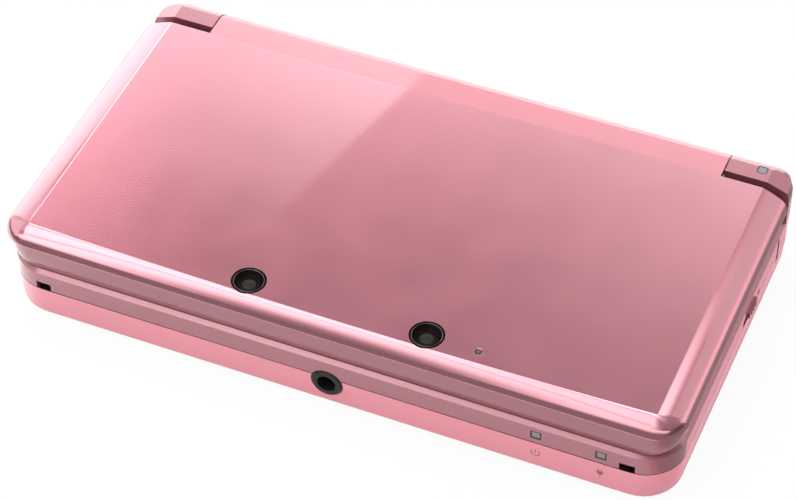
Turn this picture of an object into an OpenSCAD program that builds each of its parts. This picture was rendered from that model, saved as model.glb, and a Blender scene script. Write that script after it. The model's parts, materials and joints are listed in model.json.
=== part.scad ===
// Clamshell handheld game console, closed: a base with a touch screen and keys, and a hinged lid
// with a wide screen and two outer cameras. +X is the player's right, +Y the hinge side, +Z up.

/* [Overall] */
// Width across the lid
console_w = 134; // [133:0.5:150]
// Depth from the jack's rim to the back of the hinge
console_d = 74; // [73.5:0.5:84]
// Height of the lid from its rim to its flat top
lid_h = 8.65; // [8.4:0.05:12]
// Height of the bottom cover, feet left out
cover_h = 7; // [6.6:0.1:8]

/* [Base shells] */
// Inset of the base's sides behind the lid's
lid_overhang = 0.6; // [0.3:0.1:1.5]
// How far the jack's rim stands in front of the base
jack_proud = 0.2; // [0.1:0.05:0.4]
// Plan radius of the base's front corners
base_rf = 8; // [6:0.5:12]
// Plan radius of the base's back corners
base_rb = 6.5; // [5:0.5:8]
// Wall and floor of the bottom cover
cover_t = 0.9; // [0.7:0.05:1.1]
// Rounding of the bottom cover's lower edge
cover_edge_r = 1.2; // [0.8:0.1:1.8]
// Taper of the bottom cover's sides
cover_taper = 0.35; // [0.1:0.05:0.6]
// Wall of the top frame
frame_t = 1.3; // [1:0.05:1.5]
// Thickness of the key plate
plate_t = 1; // [0.8:0.05:1.4]
// Height of the rim round the key plate
rim_h = 1.3; // [1.3:0.05:2]
// Width of the rim round the key plate
rim_w = 2.2; // [1.8:0.1:2.6]
// Run of the chamfer along the rim's outer edge
ledge_run = 1; // [0.4:0.05:1.1]
// Drop of the chamfer along the rim's outer edge
ledge_drop = 0.5; // [0.2:0.05:0.6]
// Line between the bottom cover and the top frame
seam_gap = 0.15; // [0.1:0.05:0.3]
// Height of the rubber feet below the bottom cover
foot_h = 0.5; // [0.3:0.05:1]
// Radius of a rubber foot
foot_r = 3; // [2:0.25:4]

/* [Hinge] */
// Radius of the hinge barrel
hinge_r = 5.5; // [5.3:0.05:5.8]
// Half of the length of the lid's barrel
barrel_hx = 53.2; // [52:0.2:54]
// Gap between the barrel's ends and the ears
hinge_gap = 0.25; // [0.2:0.05:0.4]
// From the hinge axis to the ears' front face
ear_front = 2.4; // [2:0.1:2.8]
// Width of the barrel's and ears' flat top, behind the axis
top_flat = 1.2; // [0.8:0.1:1.8]
// Radius of the hinge pins
hinge_pin_r = 2.4; // [1.8:0.1:3]
// Length of a hinge pin
hinge_pin_l = 15; // [12:0.5:20]
// Depth of a hinge pin in its ear
hinge_pin_in = 6; // [4:0.5:7]
// From the hinge axis to the lid's back edge
lid_setback = 4.1; // [3.9:0.1:5]
// Room between the barrel and the trough in the base
trough_gap = 0.7; // [0.5:0.05:1]
// Room between the ears and the lid's hollow back corners
ear_clear = 0.35; // [0.3:0.05:0.6]

/* [Lid shells] */
// Height of the outer cover's side below the flat top
cover_side = 3.1; // [2.6:0.1:4]
// Width of the slope along the flat top's sides
bevel_run = 5.4; // [4:0.2:7]
// Width of the slope along the flat top's front, at its ends
front_run = 3.5; // [3:0.1:5]
// How far the flat top's front edge bows forward in its middle
front_bow = 1.1; // [0:0.1:1.4]
// From the flat top down to the start of the side's rounding
edge_drop = 2.05; // [1.8:0.05:2.4]
// Rounding between the slope and the side
lid_edge_r = 1.2; // [0.8:0.1:1.6]
// Plan radius of the lid's front corners
lid_rf = 6; // [4.5:0.5:9]
// Wall of the outer cover
lid_cover_t = 1.1; // [0.9:0.05:1.4]
// Inset of the lid's rim behind its widest line
rim_inset = 1.9; // [0.8:0.1:2]
// Wall of the lid's inner shell
lid_shell_t = 1.3; // [1.1:0.05:1.6]
// Gap between the rims of base and lid
lid_gap = 0.2; // [0.1:0.05:0.4]
// Depth of the screen side inside the lid's rim
lid_recess = 0.8; // [0.6:0.05:1.2]
// Thickness of the lid's screen plate
lid_plate_t = 1.1; // [1:0.05:1.6]

/* [Lower screen] */
// Width of the touch panel's opening
touch_w = 62.8; // [56:0.2:64]
// Depth of the touch panel's opening
touch_d = 46.8; // [42:0.2:47.6]
// Border of the touch panel under the key plate
touch_border = 1.1; // [0.8:0.1:1.3]
// Thickness of the touch panel
touch_t = 0.6; // [0.4:0.05:0.8]
// Thickness of the lower display
lower_display_t = 1.6; // [1.2:0.05:2]
// From the back of the base to the middle of the touch panel
touch_back = 37.2; // [37:0.1:37.4]

/* [Upper screen] */
// Width of the upper screen's picture
screen_w = 76.8; // [70:0.2:80]
// Depth of the upper screen's picture
screen_d = 46.1; // [42:0.2:47]
// Border of the upper screen's glass
glass_border = 4; // [3:0.25:4.5]
// Thickness of the glass
glass_t = 0.7; // [0.5:0.05:0.8]
// Thickness of the upper display
upper_display_t = 2; // [1.4:0.1:2.6]
// From the lid's back edge to the middle of the upper screen
screen_back = 30.9; // [30.8:0.05:31.2]

/* [Slide pad] */
// Distance of the left and right controls from the side of the base
control_inset = 17.9; // [17.6:0.1:18.6]
// From the back of the base to the slide pad's middle
pad_back = 28.3; // [28:0.1:30]
// Radius of the slide pad's cap
pad_r = 7.2; // [6:0.1:7.6]
// Travel of the slide pad each way along one axis
pad_travel = 2; // [1.5:0.1:2.2]

/* [Keys] */
// From the front of the base to the cross key's middle
cross_front = 16.8; // [16.4:0.1:18]
// Length of the cross key
cross_l = 19; // [16:0.25:19.5]
// Width of the cross key's arms
cross_w = 6.6; // [5:0.1:7.5]
// From the back of the base to the middle of the four face buttons
buttons_back = 33.8; // [32:0.1:36]
// Distance of a face button from the middle of the four
button_pitch = 8.3; // [7:0.1:9]
// Radius of a face button
button_r = 3.6; // [3:0.05:4]
// Travel of a face button
button_travel = 0.7; // [0.4:0.05:0.75]
// Radius of the power button
power_r = 3.2; // [2.5:0.1:3.6]
// From the front of the base to the power button
power_front = 12.8; // [12:0.1:14]
// Width of a key below the touch panel
menu_w = 13.2; // [10:0.2:14]
// Depth of a key below the touch panel
menu_d = 3.8; // [3:0.1:4]
// Distance between the keys below the touch panel
menu_pitch = 17; // [16:0.25:19]
// From the front of the base to the middle of those keys
menu_front = 5.4; // [5:0.1:5.8]
// Travel of the keys below the touch panel and of the power button
menu_travel = 0.3; // [0.2:0.05:0.35]
// Running clearance round a key
key_gap = 0.15; // [0.1:0.05:0.25]

/* [Shoulder buttons] */
// Length of a shoulder button along the back
shoulder_l = 22.6; // [20:0.2:23]
// Length of a shoulder button along the side
shoulder_side = 11.2; // [9:0.2:11.6]
// Thickness of a shoulder button
shoulder_t = 2.2; // [1.6:0.1:2.6]
// Radius of a shoulder button's pin
shoulder_pin_r = 1; // [0.7:0.05:1.2]

/* [Slide switches] */
// Travel of the volume slider
volume_travel = 8; // [5:0.5:9]
// Length of the volume slider's knob
volume_l = 5; // [4:0.5:6]
// From the front of the base to the volume slider's forward stop
volume_front = 14.5; // [13:0.5:16]
// Travel of the wireless switch
wireless_travel = 2.5; // [2:0.25:4]
// Length of the wireless switch's knob
wireless_l = 4.5; // [3.5:0.25:6]
// From the back of the base to the wireless switch's back stop
wireless_back = 26; // [24:0.5:28]
// Height of both knobs
switch_h = 1.4; // [1:0.1:1.5]
// Travel of the depth slider in the lid
depth_travel = 9; // [6:0.5:10]
// Length of the depth slider's knob
depth_l = 6; // [5:0.5:8]
// Width of the depth slider's knob
depth_w = 2.6; // [2:0.1:3]

/* [Ports] */
// Radius of the headphone jack's bore
jack_bore_r = 1.8; // [1.75:0.05:2]
// Depth of the headphone jack's bore
jack_bore_l = 11.4; // [9:0.2:11.6]
// Radius of the headphone jack's rim
jack_r = 3.15; // [2.8:0.05:3.4]
// Drop of the jack's axis below the seam
jack_drop = 1.3; // [1:0.05:1.5]
// Width of the game card
card_w = 33; // [30:0.5:34]
// Length of the game card inside the slot
card_l = 34; // [30:0.5:34]
// Height of the game card slot
slot_h = 4.2; // [4.1:0.05:4.3]
// Width of the memory card
memory_w = 24; // [22:0.5:24.4]
// Length of the memory card
memory_l = 32; // [26:0.5:32.5]
// Height of the memory card slot
memory_h = 2.4; // [2.2:0.1:2.8]
// Width of the charging port's mouth
port_w = 9; // [7:0.5:10]
// Height of the charging port's mouth
port_h = 3; // [2.4:0.1:3.2]
// From the middle to the charging port
port_x = 29; // [27:0.5:30]
// Width of the infrared window
ir_w = 5.5; // [4:0.25:6]
// From the middle to the infrared window
ir_x = 24.3; // [23:0.1:25]

/* [Stylus] */
// Radius of the stylus
stylus_r = 2.1; // [1.8:0.05:2.2]
// Length of the stylus barrel
stylus_l = 62; // [50:1:63]
// Radius of the stylus's inner rod
rod_r = 1.25; // [0.9:0.05:1.4]
// Length of the inner rod that shows when the stylus is pushed in
rod_out = 6; // [4:0.5:6.5]
// From the middle to the stylus
stylus_x = 31.5; // [31:0.1:32.5]

/* [Battery and board] */
// Width of the battery
battery_w = 52; // [45:0.5:53]
// Depth of the battery
battery_d = 31.6; // [28:0.2:32]
// Thickness of the battery
battery_t = 4.5; // [4.3:0.05:4.8]
// Thickness of the inner tray's roof
tray_t = 0.6; // [0.5:0.05:0.8]
// Wall of the battery bay
bay_t = 0.8; // [0.6:0.05:1]
// Thickness of the main board
board_t = 0.8; // [0.6:0.05:1]

/* [Cameras and lights] */
// Distance between the two outer cameras
camera_pitch = 35; // [30:0.5:40]
// From the front of the lid to the outer cameras
camera_front = 5.6; // [5.2:0.1:6]
// Radius of an outer camera's ring
camera_r = 3.25; // [2.8:0.05:3.6]
// Radius of an outer camera's lens
lens_r = 1.45; // [1.1:0.05:1.6]
// From the middle to the recording light
record_x = 27.5; // [26:0.1:30]
// Radius of the recording light
record_r = 0.65; // [0.5:0.05:0.9]
// From the middle to the power light
power_light_x = 40.7; // [38:0.1:43]
// From the middle to the charging light
charge_light_x = 53; // [50:0.1:54]
// Width of the power and charging lights
light_w = 2; // [1.6:0.1:2.4]
// Height of the power and charging lights
light_h = 1.8; // [1.5:0.1:2.1]
// From the middle to the strap opening
strap_x = 57.9; // [57:0.1:58.5]
// Width of the strap opening
strap_w = 3; // [2.4:0.1:3.2]

/* [Hidden] */

$fn = 48;
arc_n = 8;          // steps in each rounded corner
eps = 0.01;         // overlap that keeps a cut clean
seat_gap = 0.05;    // between parts that rest on each other in one shell
fit_gap = 0.25;     // between a shell and what is set into it
part_line = 0.05;   // line between two shells of the lid
run_gap = 0.05;     // radial clearance of a turning or sliding fit

base_pink = [0.96, 0.55, 0.62];
frame_pink = [0.80, 0.49, 0.55];
lid_pink = [0.90, 0.58, 0.65];
dark = [0.08, 0.08, 0.09];
rubber = [0.16, 0.16, 0.17];
steel = [0.72, 0.72, 0.74];
brass_tone = [0.80, 0.66, 0.35];
board_green = [0.10, 0.35, 0.20];
smoke = [0.45, 0.45, 0.47];

// Levels of the base, from the floor up
z_floor = foot_h + cover_t;
z_seam = foot_h + cover_h;
z_battery = z_floor + seat_gap;
z_tray = z_battery + battery_t + 2 * seat_gap;
z_board = z_tray + tray_t + seat_gap;
z_lcd = z_board + board_t + seat_gap;
z_touch = z_lcd + lower_display_t + seat_gap;
z_plate = z_touch + touch_t + seat_gap;
z_face = z_plate + plate_t;
z_rim = z_face + rim_h;

// Levels of the lid
z_lid = z_rim + lid_gap;
z_top = z_lid + lid_h;
z_screen = z_lid + lid_recess;
z_screen_in = z_screen + lid_plate_t;
z_part = z_top - cover_side;

// Sides of the base and the lid
lid_hx = console_w / 2;
base_hx = lid_hx - lid_overhang;
y_front = -console_d / 2;
y_back = console_d / 2;
base_y0 = y_front + jack_proud;
base_y1 = y_back - jack_proud;
lid_y0 = y_front + jack_proud / 2;

// Hinge
hinge_y = y_back - hinge_r;
hinge_z = z_top - hinge_r;
lid_y1 = hinge_y - lid_setback;
ear_x0 = barrel_hx + hinge_gap;
ear_x1 = base_hx;
ear_taper_x = 4.6;      // width of the slant at an ear's outer end
ear_taper_z = 1.7;      // drop of the slant at an ear's outer end
ear_foot = z_rim - 0.4; // the ears' foot, sunk into the deck they grow from
top_chamfer = [3.85, 3.85]; // lower end of the back chamfer, from the axis
ear_reach = norm([ear_front, hinge_r]);
relief_r = ear_reach + ear_clear;
trough_r = hinge_r + trough_gap;
trough_skin = 0.9;      // skin below the trough
z_shelf = hinge_z - trough_r;
z_roof = z_shelf - trough_skin;

// Inside of the bottom cover, at its floor
in_inset = cover_t + cover_taper + 0.3;
in_y1 = base_y1 - in_inset - seat_gap;

// Places of the controls on the key plate
control_x = base_hx - control_inset;
pad_y = base_y1 - pad_back;
pad_reach = pad_travel * sqrt(2);
pad_hole_r = pad_r + pad_reach + 0.1;
pad_flange_r = pad_hole_r + pad_reach + 0.15;
pad_top = z_rim - 0.1;
housing_t = 0.4;
z_carriage = z_lcd + housing_t + seat_gap;
carriage_t = 0.6;
z_flange = z_carriage + carriage_t + seat_gap;
pad_flange_t = 0.6;
tongue = [3, 6, 0.45];
cross_y = base_y0 + cross_front;
cross_pivot_z = z_lcd + 0.75;
cross_gap = 0.35;
z_cross = z_face + 0.85;
cross_flange_r = cross_l / 2 + 0.1;
buttons_y = base_y1 - buttons_back;
power_x = control_x + 4.5;
power_y = base_y0 + power_front;
menu_y = base_y0 + menu_front;
touch_y = base_y1 - touch_back;
touch_hx = touch_w / 2 + touch_border;
touch_hy = touch_d / 2 + touch_border;
button_flange = 0.6;    // face buttons' flanges reach this far under the plate
key_flange = 0.6;       // from the plate to the underside of the keys below the touch panel
key_proud = 1.2;        // face buttons above the plate
pad_sheet_t = 0.3;      // rubber sheet under the keys

// Inside of the base
cav_y = hinge_y - trough_r;    // the key plate's room ends here
corner_x = ear_x0 + 1;         // the rooms under the ears start here
z_corner = z_rim - 0.9;        // roof of the rooms under the ears
battery_x0 = -base_hx + 8.9;
battery_y0 = base_y0 + in_inset + bay_t + 2 * fit_gap;
memory_y0 = battery_y0 + battery_d + bay_t + 0.3;
memory_x0 = -base_hx + in_inset + 0.1;
memory_z = z_floor + 0.8;
slot_z = z_floor + 0.45;
slot_hx = card_w / 2 + 0.5;
slot_y0 = in_y1 - card_l;
stylus_z = z_floor + 2.35;
channel_hx = stylus_r + 1;
channel_y0 = base_y1 - stylus_l - rod_out - 1.4;
jack_z = z_seam - jack_drop;
jack_body = [6, 5];
jack_in = jack_proud + max(frame_t, cover_t + cover_taper) + 0.25;
jack_y1 = y_front + jack_bore_l + 0.6;
cover_screw = [24, 12];
cover_screw_r = 1;
frame_screw_r = 0.8;
boss_r = 2;
front_boss = [base_hx - 4.4, base_y0 + 8.8];
rear_boss = [37.2, cav_y + 2.1];

// Shoulder buttons
shoulder_z0 = foot_h + 4.7;
shoulder_z1 = z_roof - 0.35;
shoulder_z2 = z_corner - 0.25;
shoulder_x0 = base_hx - shoulder_l;
shoulder_y0 = base_y1 - shoulder_side;
shoulder_gap = 0.2;
shoulder_front_gap = 1.2;      // room for the button's front end to move into
shoulder_pin = [shoulder_x0 + 1.7, base_y1 - 3.4];

// Side switches
switch_z = z_plate - 0.35 - switch_h;
knob_out = 0.45;
switch_flange = 0.5;
volume_y0 = base_y0 + volume_front;
wireless_y1 = base_y1 - wireless_back;
depth_x = lid_hx - 6.2;
depth_y1 = lid_y1 - 11.5;

// Lid
camera_y = lid_y0 + camera_front;
camera_z = z_top - 0.9;
camera_board_z = z_screen_in + upper_display_t + seat_gap + 0.15;
inner_camera_y = camera_y - 1.3;
screen_y = lid_y1 - screen_back;
glass_hx = screen_w / 2 + glass_border;
glass_hy = screen_d / 2 + glass_border;
speaker_x = lid_hx - 15.2;
bumper = [lid_hx - 5.9, lid_y0 + 6.4];
bumper_back = lid_y1 - 6.6;
bumper_r = 1.8;
lid_screw = [lid_hx - 12.6, lid_y0 + 4.2];
lid_screw_back = lid_y1 - 3.4;
record_y = camera_y - 0.25;

// Rounded outline with its own radii at the front and the back, anticlockwise from the front right
function corner(cx, cy, rx, ry, a0) =
    [for (i = [0 : arc_n]) let (a = a0 + 90 * i / arc_n) [cx + rx * cos(a), cy + ry * sin(a)]];
function outline(hx, y0, y1, rf, rbx, rby) = concat(
    corner(hx - rf, y0 + rf, rf, rf, -90), corner(hx - rbx, y1 - rby, rbx, rby, 0),
    corner(-hx + rbx, y1 - rby, rbx, rby, 90), corner(-hx + rf, y0 + rf, rf, rf, 180));
function lift(points, z) = [for (p = points) [p[0], p[1], z]];

// Solid skinned over a stack of outlines that all have the same number of points
module loft(rings) {
    n = len(rings[0]);
    top = (len(rings) - 1) * n;
    polyhedron(
        points = [for (r = rings) each r],
        faces = concat(
            [[for (i = [0 : n - 1]) i]],
            [for (j = [0 : len(rings) - 2], i = [0 : n - 1])
                let (a = j * n + i, b = j * n + (i + 1) % n)
                each [[a, a + n, b + n], [a, b + n, b]]],
            [[for (i = [n - 1 : -1 : 0]) top + i]]));
}

module prism(z0, z1) {
    translate([0, 0, z0]) linear_extrude(z1 - z0) children();
}

module block(x0, x1, y0, y1, z0, z1) {
    translate([x0, y0, z0]) cube([x1 - x0, y1 - y0, z1 - z0]);
}

// Extrudes a Y-Z drawing along +X from x0 to x1, about the hinge axis
module about_hinge(x0, x1) {
    translate([x0, hinge_y, hinge_z]) rotate([90, 0, 90]) linear_extrude(x1 - x0) children();
}

module rod_x(x0, x1, y, z, r) {
    translate([x0, y, z]) rotate([0, 90, 0]) cylinder(h = x1 - x0, r = r);
}

module rod_y(y0, y1, x, z, r) {
    translate([x, y0, z]) rotate([-90, 0, 0]) cylinder(h = y1 - y0, r = r);
}

module post(x, y, z0, z1, r) {
    translate([x, y, z0]) cylinder(h = z1 - z0, r = r);
}

module both_sides() {
    children();
    mirror([1, 0, 0]) children();
}

function base_outline(inset) = outline(base_hx - inset, base_y0 + inset, base_y1 - inset,
    base_rf - inset, base_rb - inset, base_rb - inset);

module base_plan(inset) {
    polygon(base_outline(inset));
}

// ---------------------------------------------------------------- bottom cover and its trim

function cover_ring(a) = lift(
    base_outline(cover_taper + cover_edge_r * (1 - sin(a))), foot_h + cover_edge_r * (1 - cos(a)));

module cover_body() {
    difference() {
        loft(concat([for (a = [0 : 22.5 : 90]) cover_ring(a)], [lift(base_outline(0), z_seam)]));
        loft([
            lift(base_outline(in_inset), z_floor),
            lift(base_outline(cover_t + cover_taper), z_floor + 0.4),
            lift(base_outline(cover_t), z_seam + eps)]);
    }
}

// Space swept by a shoulder button, from z0 up: low along the back, tall under the ear
module shoulder_opening(z0) {
    g = shoulder_gap;
    far = base_hx + 1;
    block(shoulder_x0 - g, far, base_y1 - frame_t - 1, y_back + 1, z0, shoulder_z1 + g);
    block(corner_x - 0.1, far, shoulder_y0 - shoulder_front_gap, y_back + 1, z0, shoulder_z1 + g);
}

module shoulder_opening_tall() {
    block(corner_x, base_hx + 1, shoulder_y0 - shoulder_front_gap, y_back + 1,
        z_seam, shoulder_z2 + shoulder_gap);
}

module cover_holes() {
    wall = base_y1 - cover_t - 1;
    block(-slot_hx, slot_hx, wall, y_back, slot_z, slot_z + slot_h);
    rod_y(wall, y_back, stylus_x, stylus_z, stylus_r + fit_gap);
    block(-port_x - port_w / 2 - fit_gap, -port_x + port_w / 2 + fit_gap, wall, y_back,
        z_floor + 0.5, z_floor + 0.5 + port_h + 1);
    block(ir_x - ir_w / 2 - seat_gap, ir_x + ir_w / 2 + seat_gap, wall, y_back,
        z_floor + 1.3, z_floor + 4.3);
    for (x = contact_x) block(x - 0.8 - seat_gap, x + 0.8 + seat_gap, wall, y_back,
        z_floor + 0.9, z_floor + 3.1);
    rod_y(y_front, base_y0 + cover_t + 2, 0, jack_z, jack_r + seat_gap);
    block(-base_hx - 1, -base_hx + cover_t + 1.2, flap_y0 - fit_gap, flap_y1 + fit_gap,
        flap_z0 - 0.75, flap_z1 + 0.2);
    // pockets behind the strap openings
    both_sides() block(strap_x - strap_w / 2, strap_x + strap_w / 2, base_y0 + 0.35, base_y0 + 2,
        z_seam - 1.4, z_seam + 1);
}

contact_x = [-38, -41];
flap_y0 = memory_y0 + 0.35;
flap_y1 = flap_y0 + memory_w + 0.6;
flap_z0 = memory_z - 0.05;
flap_z1 = memory_z + memory_h + 0.35;
flap_x = -base_hx + 0.75;
knuckle_r = 0.5;

module bottom_cover() {
    color(base_pink) difference() {
        union() {
            cover_body();
            both_sides() post(cover_screw[0], cover_screw[1], foot_h + 0.5, z_floor + 1.1, 3);
        }
        cover_holes();
        both_sides() {
            shoulder_opening(shoulder_z0 - shoulder_gap);
            post(cover_screw[0], cover_screw[1], 0, z_floor + 2, cover_screw_r + 0.2);
            post(cover_screw[0], cover_screw[1], 0, foot_h + 1.1, 2.4);
            for (y = foot_y) post(foot_x, y, 0, foot_h + 0.3, foot_r + seat_gap);
        }
    }
}

foot_in = [12, 9];      // feet, from the base's side and end
foot_x = base_hx - foot_in[0];
foot_y = [base_y0 + foot_in[1], base_y1 - foot_in[1]];

module rubber_feet() {
    color(rubber) both_sides() for (y = foot_y) translate([foot_x, y, 0]) rotate_extrude()
        polygon([[0, 0], [foot_r - 0.4, 0], [foot_r, 0.3], [foot_r, foot_h + 0.3 - seat_gap],
            [0, foot_h + 0.3 - seat_gap]]);
}

// Recessed cross for the captive screws
module screw(x, y, z_head, head_r, head_h, z_tip, shank_r) {
    difference() {
        union() {
            post(x, y, z_head, z_head + head_h, head_r);
            post(x, y, z_head + head_h - eps, z_tip, shank_r);
        }
        for (a = [0, 90]) translate([x, y, z_head]) rotate(a)
            cube([head_r * 1.2, 0.4, 0.7], center = true);
    }
}

module cover_screws() {
    color(steel) both_sides()
        screw(cover_screw[0], cover_screw[1], foot_h + 0.3, 2.2, 0.8, z_floor + 3.4, cover_screw_r);
}

// ---------------------------------------------------------------- inside of the base

module bay(x0, x1, y0, y1) {
    difference() {
        block(x0 - bay_t - fit_gap, x1 + bay_t + fit_gap, y0 - bay_t - fit_gap, y1 + bay_t,
            z_floor + seat_gap, z_tray + eps);
        block(x0 - fit_gap, x1 + fit_gap, y0 - fit_gap, y1 + 0.15, 0, z_tray);
    }
}

// Edges of the windows cut in the tray's roof for the parts that reach the board
chip_window = [stylus_x + channel_hx + 2.6, base_hx - 7, base_y0 + 7, base_y1 - 20];

module inner_tray() {
    color(dark) difference() {
        union() {
            prism(z_tray, z_tray + tray_t) base_plan(cover_t + 1.3);
            bay(battery_x0, battery_x0 + battery_w, battery_y0, battery_y0 + battery_d);
            block(stylus_x - channel_hx, stylus_x + channel_hx, channel_y0, in_y1,
                z_floor + seat_gap, z_tray + eps);
            both_sides() post(cover_screw[0], cover_screw[1], z_floor + 1.2, z_tray + eps, 2.8);
        }
        rod_y(channel_y0 + 1, y_back, stylus_x, stylus_z, stylus_r + 2 * run_gap);
        block(-slot_hx - 1.3, slot_hx + 1.3, slot_y0 - 1.6, y_back, 0, z_rim);
        block(-jack_body[0] / 2 - 0.4, jack_body[0] / 2 + 0.4, y_front, jack_y1 + 0.4, 0, z_rim);
        block(chip_window[0], chip_window[1], chip_window[2], chip_window[3], 0, z_rim);
        both_sides() {
            block(shoulder_x0 - 1, base_hx, shoulder_y0 - shoulder_front_gap - 1, y_back, 0, z_rim);
            post(cover_screw[0], cover_screw[1], 0, z_floor + 3.6, cover_screw_r + 0.02);
            post(front_boss[0], front_boss[1], 0, z_rim, frame_screw_r + 0.15);
            post(rear_boss[0], rear_boss[1], 0, z_rim, frame_screw_r + 0.15);
        }
    }
}

module battery() {
    y1 = battery_y0 + battery_d;
    color(smoke) difference() {
        block(battery_x0, battery_x0 + battery_w, battery_y0, y1, z_battery, z_battery + battery_t);
        for (i = [0 : 2]) translate([battery_x0 + battery_w - 8 + 2.4 * i, y1 - 0.5, z_battery + 1.2])
            cube([1.4, 2, 2.2]);
    }
}

board_in = [3.9, 2, 0.4];   // board, from the base's side, its front and the trough's wall
board_hx = base_hx - board_in[0];
board_y0 = base_y0 + board_in[1];
board_y1 = cav_y - board_in[2];
processor = [14, 14, 1.2];
radio = [18, 12, 1.6];
memory_chip = [3, 3.6, 0.8];

// A chip of the given size under the board, centred on x
module chip(x, y, size) {
    block(x - size[0] / 2, x + size[0] / 2, y, y + size[1], z_board - size[2], z_board + eps);
}

module main_board() {
    z1 = z_board + board_t;
    chip_mid = (chip_window[0] + chip_window[1]) / 2;
    color(board_green) {
        difference() {
            prism(z_board, z1) polygon(outline(board_hx, board_y0, board_y1, 5, 3, 3));
            block(-jack_body[0] / 2 - 0.4, jack_body[0] / 2 + 0.4, y_front, jack_y1 + 0.4, 0, z_rim);
            both_sides() {
                post(front_boss[0], front_boss[1], 0, z_rim, frame_screw_r + 0.15);
                block(shoulder_x0 - 1, base_hx, shoulder_y0 - shoulder_front_gap - 1, y_back, 0, z_rim);
            }
        }
        chip(chip_mid, chip_window[2] + 3, processor);
        chip(chip_mid, chip_window[2] + 6 + processor[1], radio);
        for (i = [-1.5 : 1.5]) chip(chip_mid + (memory_chip[0] + 1.4) * i, chip_window[3] - 5,
            memory_chip);
    }
}

module lower_display() {
    color(steel) difference() {
        block(-touch_hx, touch_hx, touch_y - touch_hy, touch_y + touch_hy, z_lcd, z_lcd + lower_display_t);
        block(-touch_w / 2 + 0.8, touch_w / 2 - 0.8, touch_y - touch_d / 2 + 0.8,
            touch_y + touch_d / 2 - 0.8,
            z_lcd + lower_display_t - 0.15, z_rim);
    }
}

module touch_panel() {
    color(dark)
        block(-touch_hx, touch_hx, touch_y - touch_hy, touch_y + touch_hy, z_touch, z_touch + touch_t);
}

module button_pads() {
    color(rubber) {
        difference() {
            post(-control_x, cross_y, z_lcd, z_lcd + pad_sheet_t, cross_flange_r - 1);
            post(-control_x, cross_y, 0, z_rim, 2.3);
        }
        post(control_x, buttons_y, z_lcd, z_lcd + pad_sheet_t, button_pitch + 3);
        both_sides() {
            block(menu_pitch - 6, menu_pitch + 6, menu_y - 1.5, menu_y + 1.5, z_lcd, z_lcd + pad_sheet_t);
            post(menu_pitch, menu_y, z_lcd, z_plate - key_flange - menu_travel - 2 * seat_gap, 1.2);
        }
        post(power_x, power_y, z_lcd, z_lcd + pad_sheet_t, power_r);
        post(power_x, power_y, z_lcd, z_plate - 0.7 - menu_travel - seat_gap, 1.2);
    }
}

module slot_contacts() {
    for (i = [0 : 7]) block(-slot_hx + 3.2 + 3.6 * i, -slot_hx + 4.6 + 3.6 * i, slot_y0 - eps,
        slot_y0 + 1.2,
        slot_z + 0.3, slot_z + 1.1);
}

module game_card_slot() {
    color(dark) {
        difference() {
            block(-slot_hx - 1, slot_hx + 1, slot_y0 - 1.2, in_y1,
                z_floor + seat_gap, z_board - seat_gap);
            block(-slot_hx, slot_hx, slot_y0, y_back, slot_z, slot_z + slot_h);
        }
        slot_contacts();
    }
}

module memory_card_slot() {
    y1 = memory_y0 + memory_w + 1.4;
    color(steel) difference() {
        block(memory_x0, memory_x0 + memory_l + 1, memory_y0, y1, z_floor + seat_gap, z_tray - seat_gap);
        block(-base_hx, memory_x0 + memory_l, memory_y0 + 0.5, y1 - 0.5, memory_z, memory_z + memory_h);
    }
}

module memory_card_flap() {
    z_pin = flap_z0 - 0.1;
    color(base_pink) {
        block(flap_x - 0.45, flap_x + 0.35, flap_y0, flap_y1, z_pin, flap_z1);
        rod_y(flap_y0, flap_y1, flap_x, z_pin, knuckle_r);
        block(flap_x + 0.3, flap_x + 0.8, flap_y0 + 1.2, flap_y1 - 1.2, flap_z0 + 0.9, flap_z1 - 0.6);
    }
}

module charging_port() {
    z0 = z_floor + 0.55;
    color(dark) difference() {
        block(-port_x - port_w / 2, -port_x + port_w / 2, base_y1 - 7, base_y1 - 0.15, z0,
            z0 + port_h + 0.9);
        block(-port_x - port_w / 2 + 0.6, -port_x + port_w / 2 - 0.6, base_y1 - 6, y_back,
            z0 + 0.5, z0 + port_h + 0.4);
        post(-port_x, base_y1 - 6.5, 0, z0 + 0.6, 0.6);
    }
    color(brass_tone) block(-port_x - port_w / 2 + 1.4, -port_x + port_w / 2 - 1.4, base_y1 - 6.01,
        base_y1 - 1.4,
        z0 + 1.5, z0 + 2.2);
}

module cradle_contacts() {
    color(brass_tone) for (x = contact_x)
        block(x - 0.8, x + 0.8, base_y1 - cover_t - 0.6, base_y1 - 0.35, z_floor + 0.95, z_floor + 3.05);
}

module infrared_window() {
    color(dark) {
        block(ir_x - ir_w / 2, ir_x + ir_w / 2, base_y1 - cover_t - 0.4, base_y1 - 0.25,
            z_floor + 1.35, z_floor + 4.25);
        block(ir_x - ir_w / 2 + 1, ir_x + ir_w / 2 - 1, base_y1 - 4.6, base_y1 - cover_t - 0.4 + eps,
            z_floor + 1.9, z_tray - seat_gap);
    }
}

module headphone_jack() {
    color(dark) difference() {
        union() {
            translate([0, y_front, jack_z]) rotate([-90, 0, 0]) rotate_extrude()
                polygon([[0, 0], [jack_r - 0.35, 0], [jack_r, 0.35], [jack_r, jack_in], [0, jack_in]]);
            block(-jack_body[0] / 2, jack_body[0] / 2, y_front + jack_in - 0.1, jack_y1,
                jack_z - jack_body[1] / 2, jack_z + jack_body[1] / 2);
        }
        rod_y(y_front - 1, y_front + jack_bore_l, 0, jack_z, jack_bore_r);
    }
}

// ---------------------------------------------------------------- top frame

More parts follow.
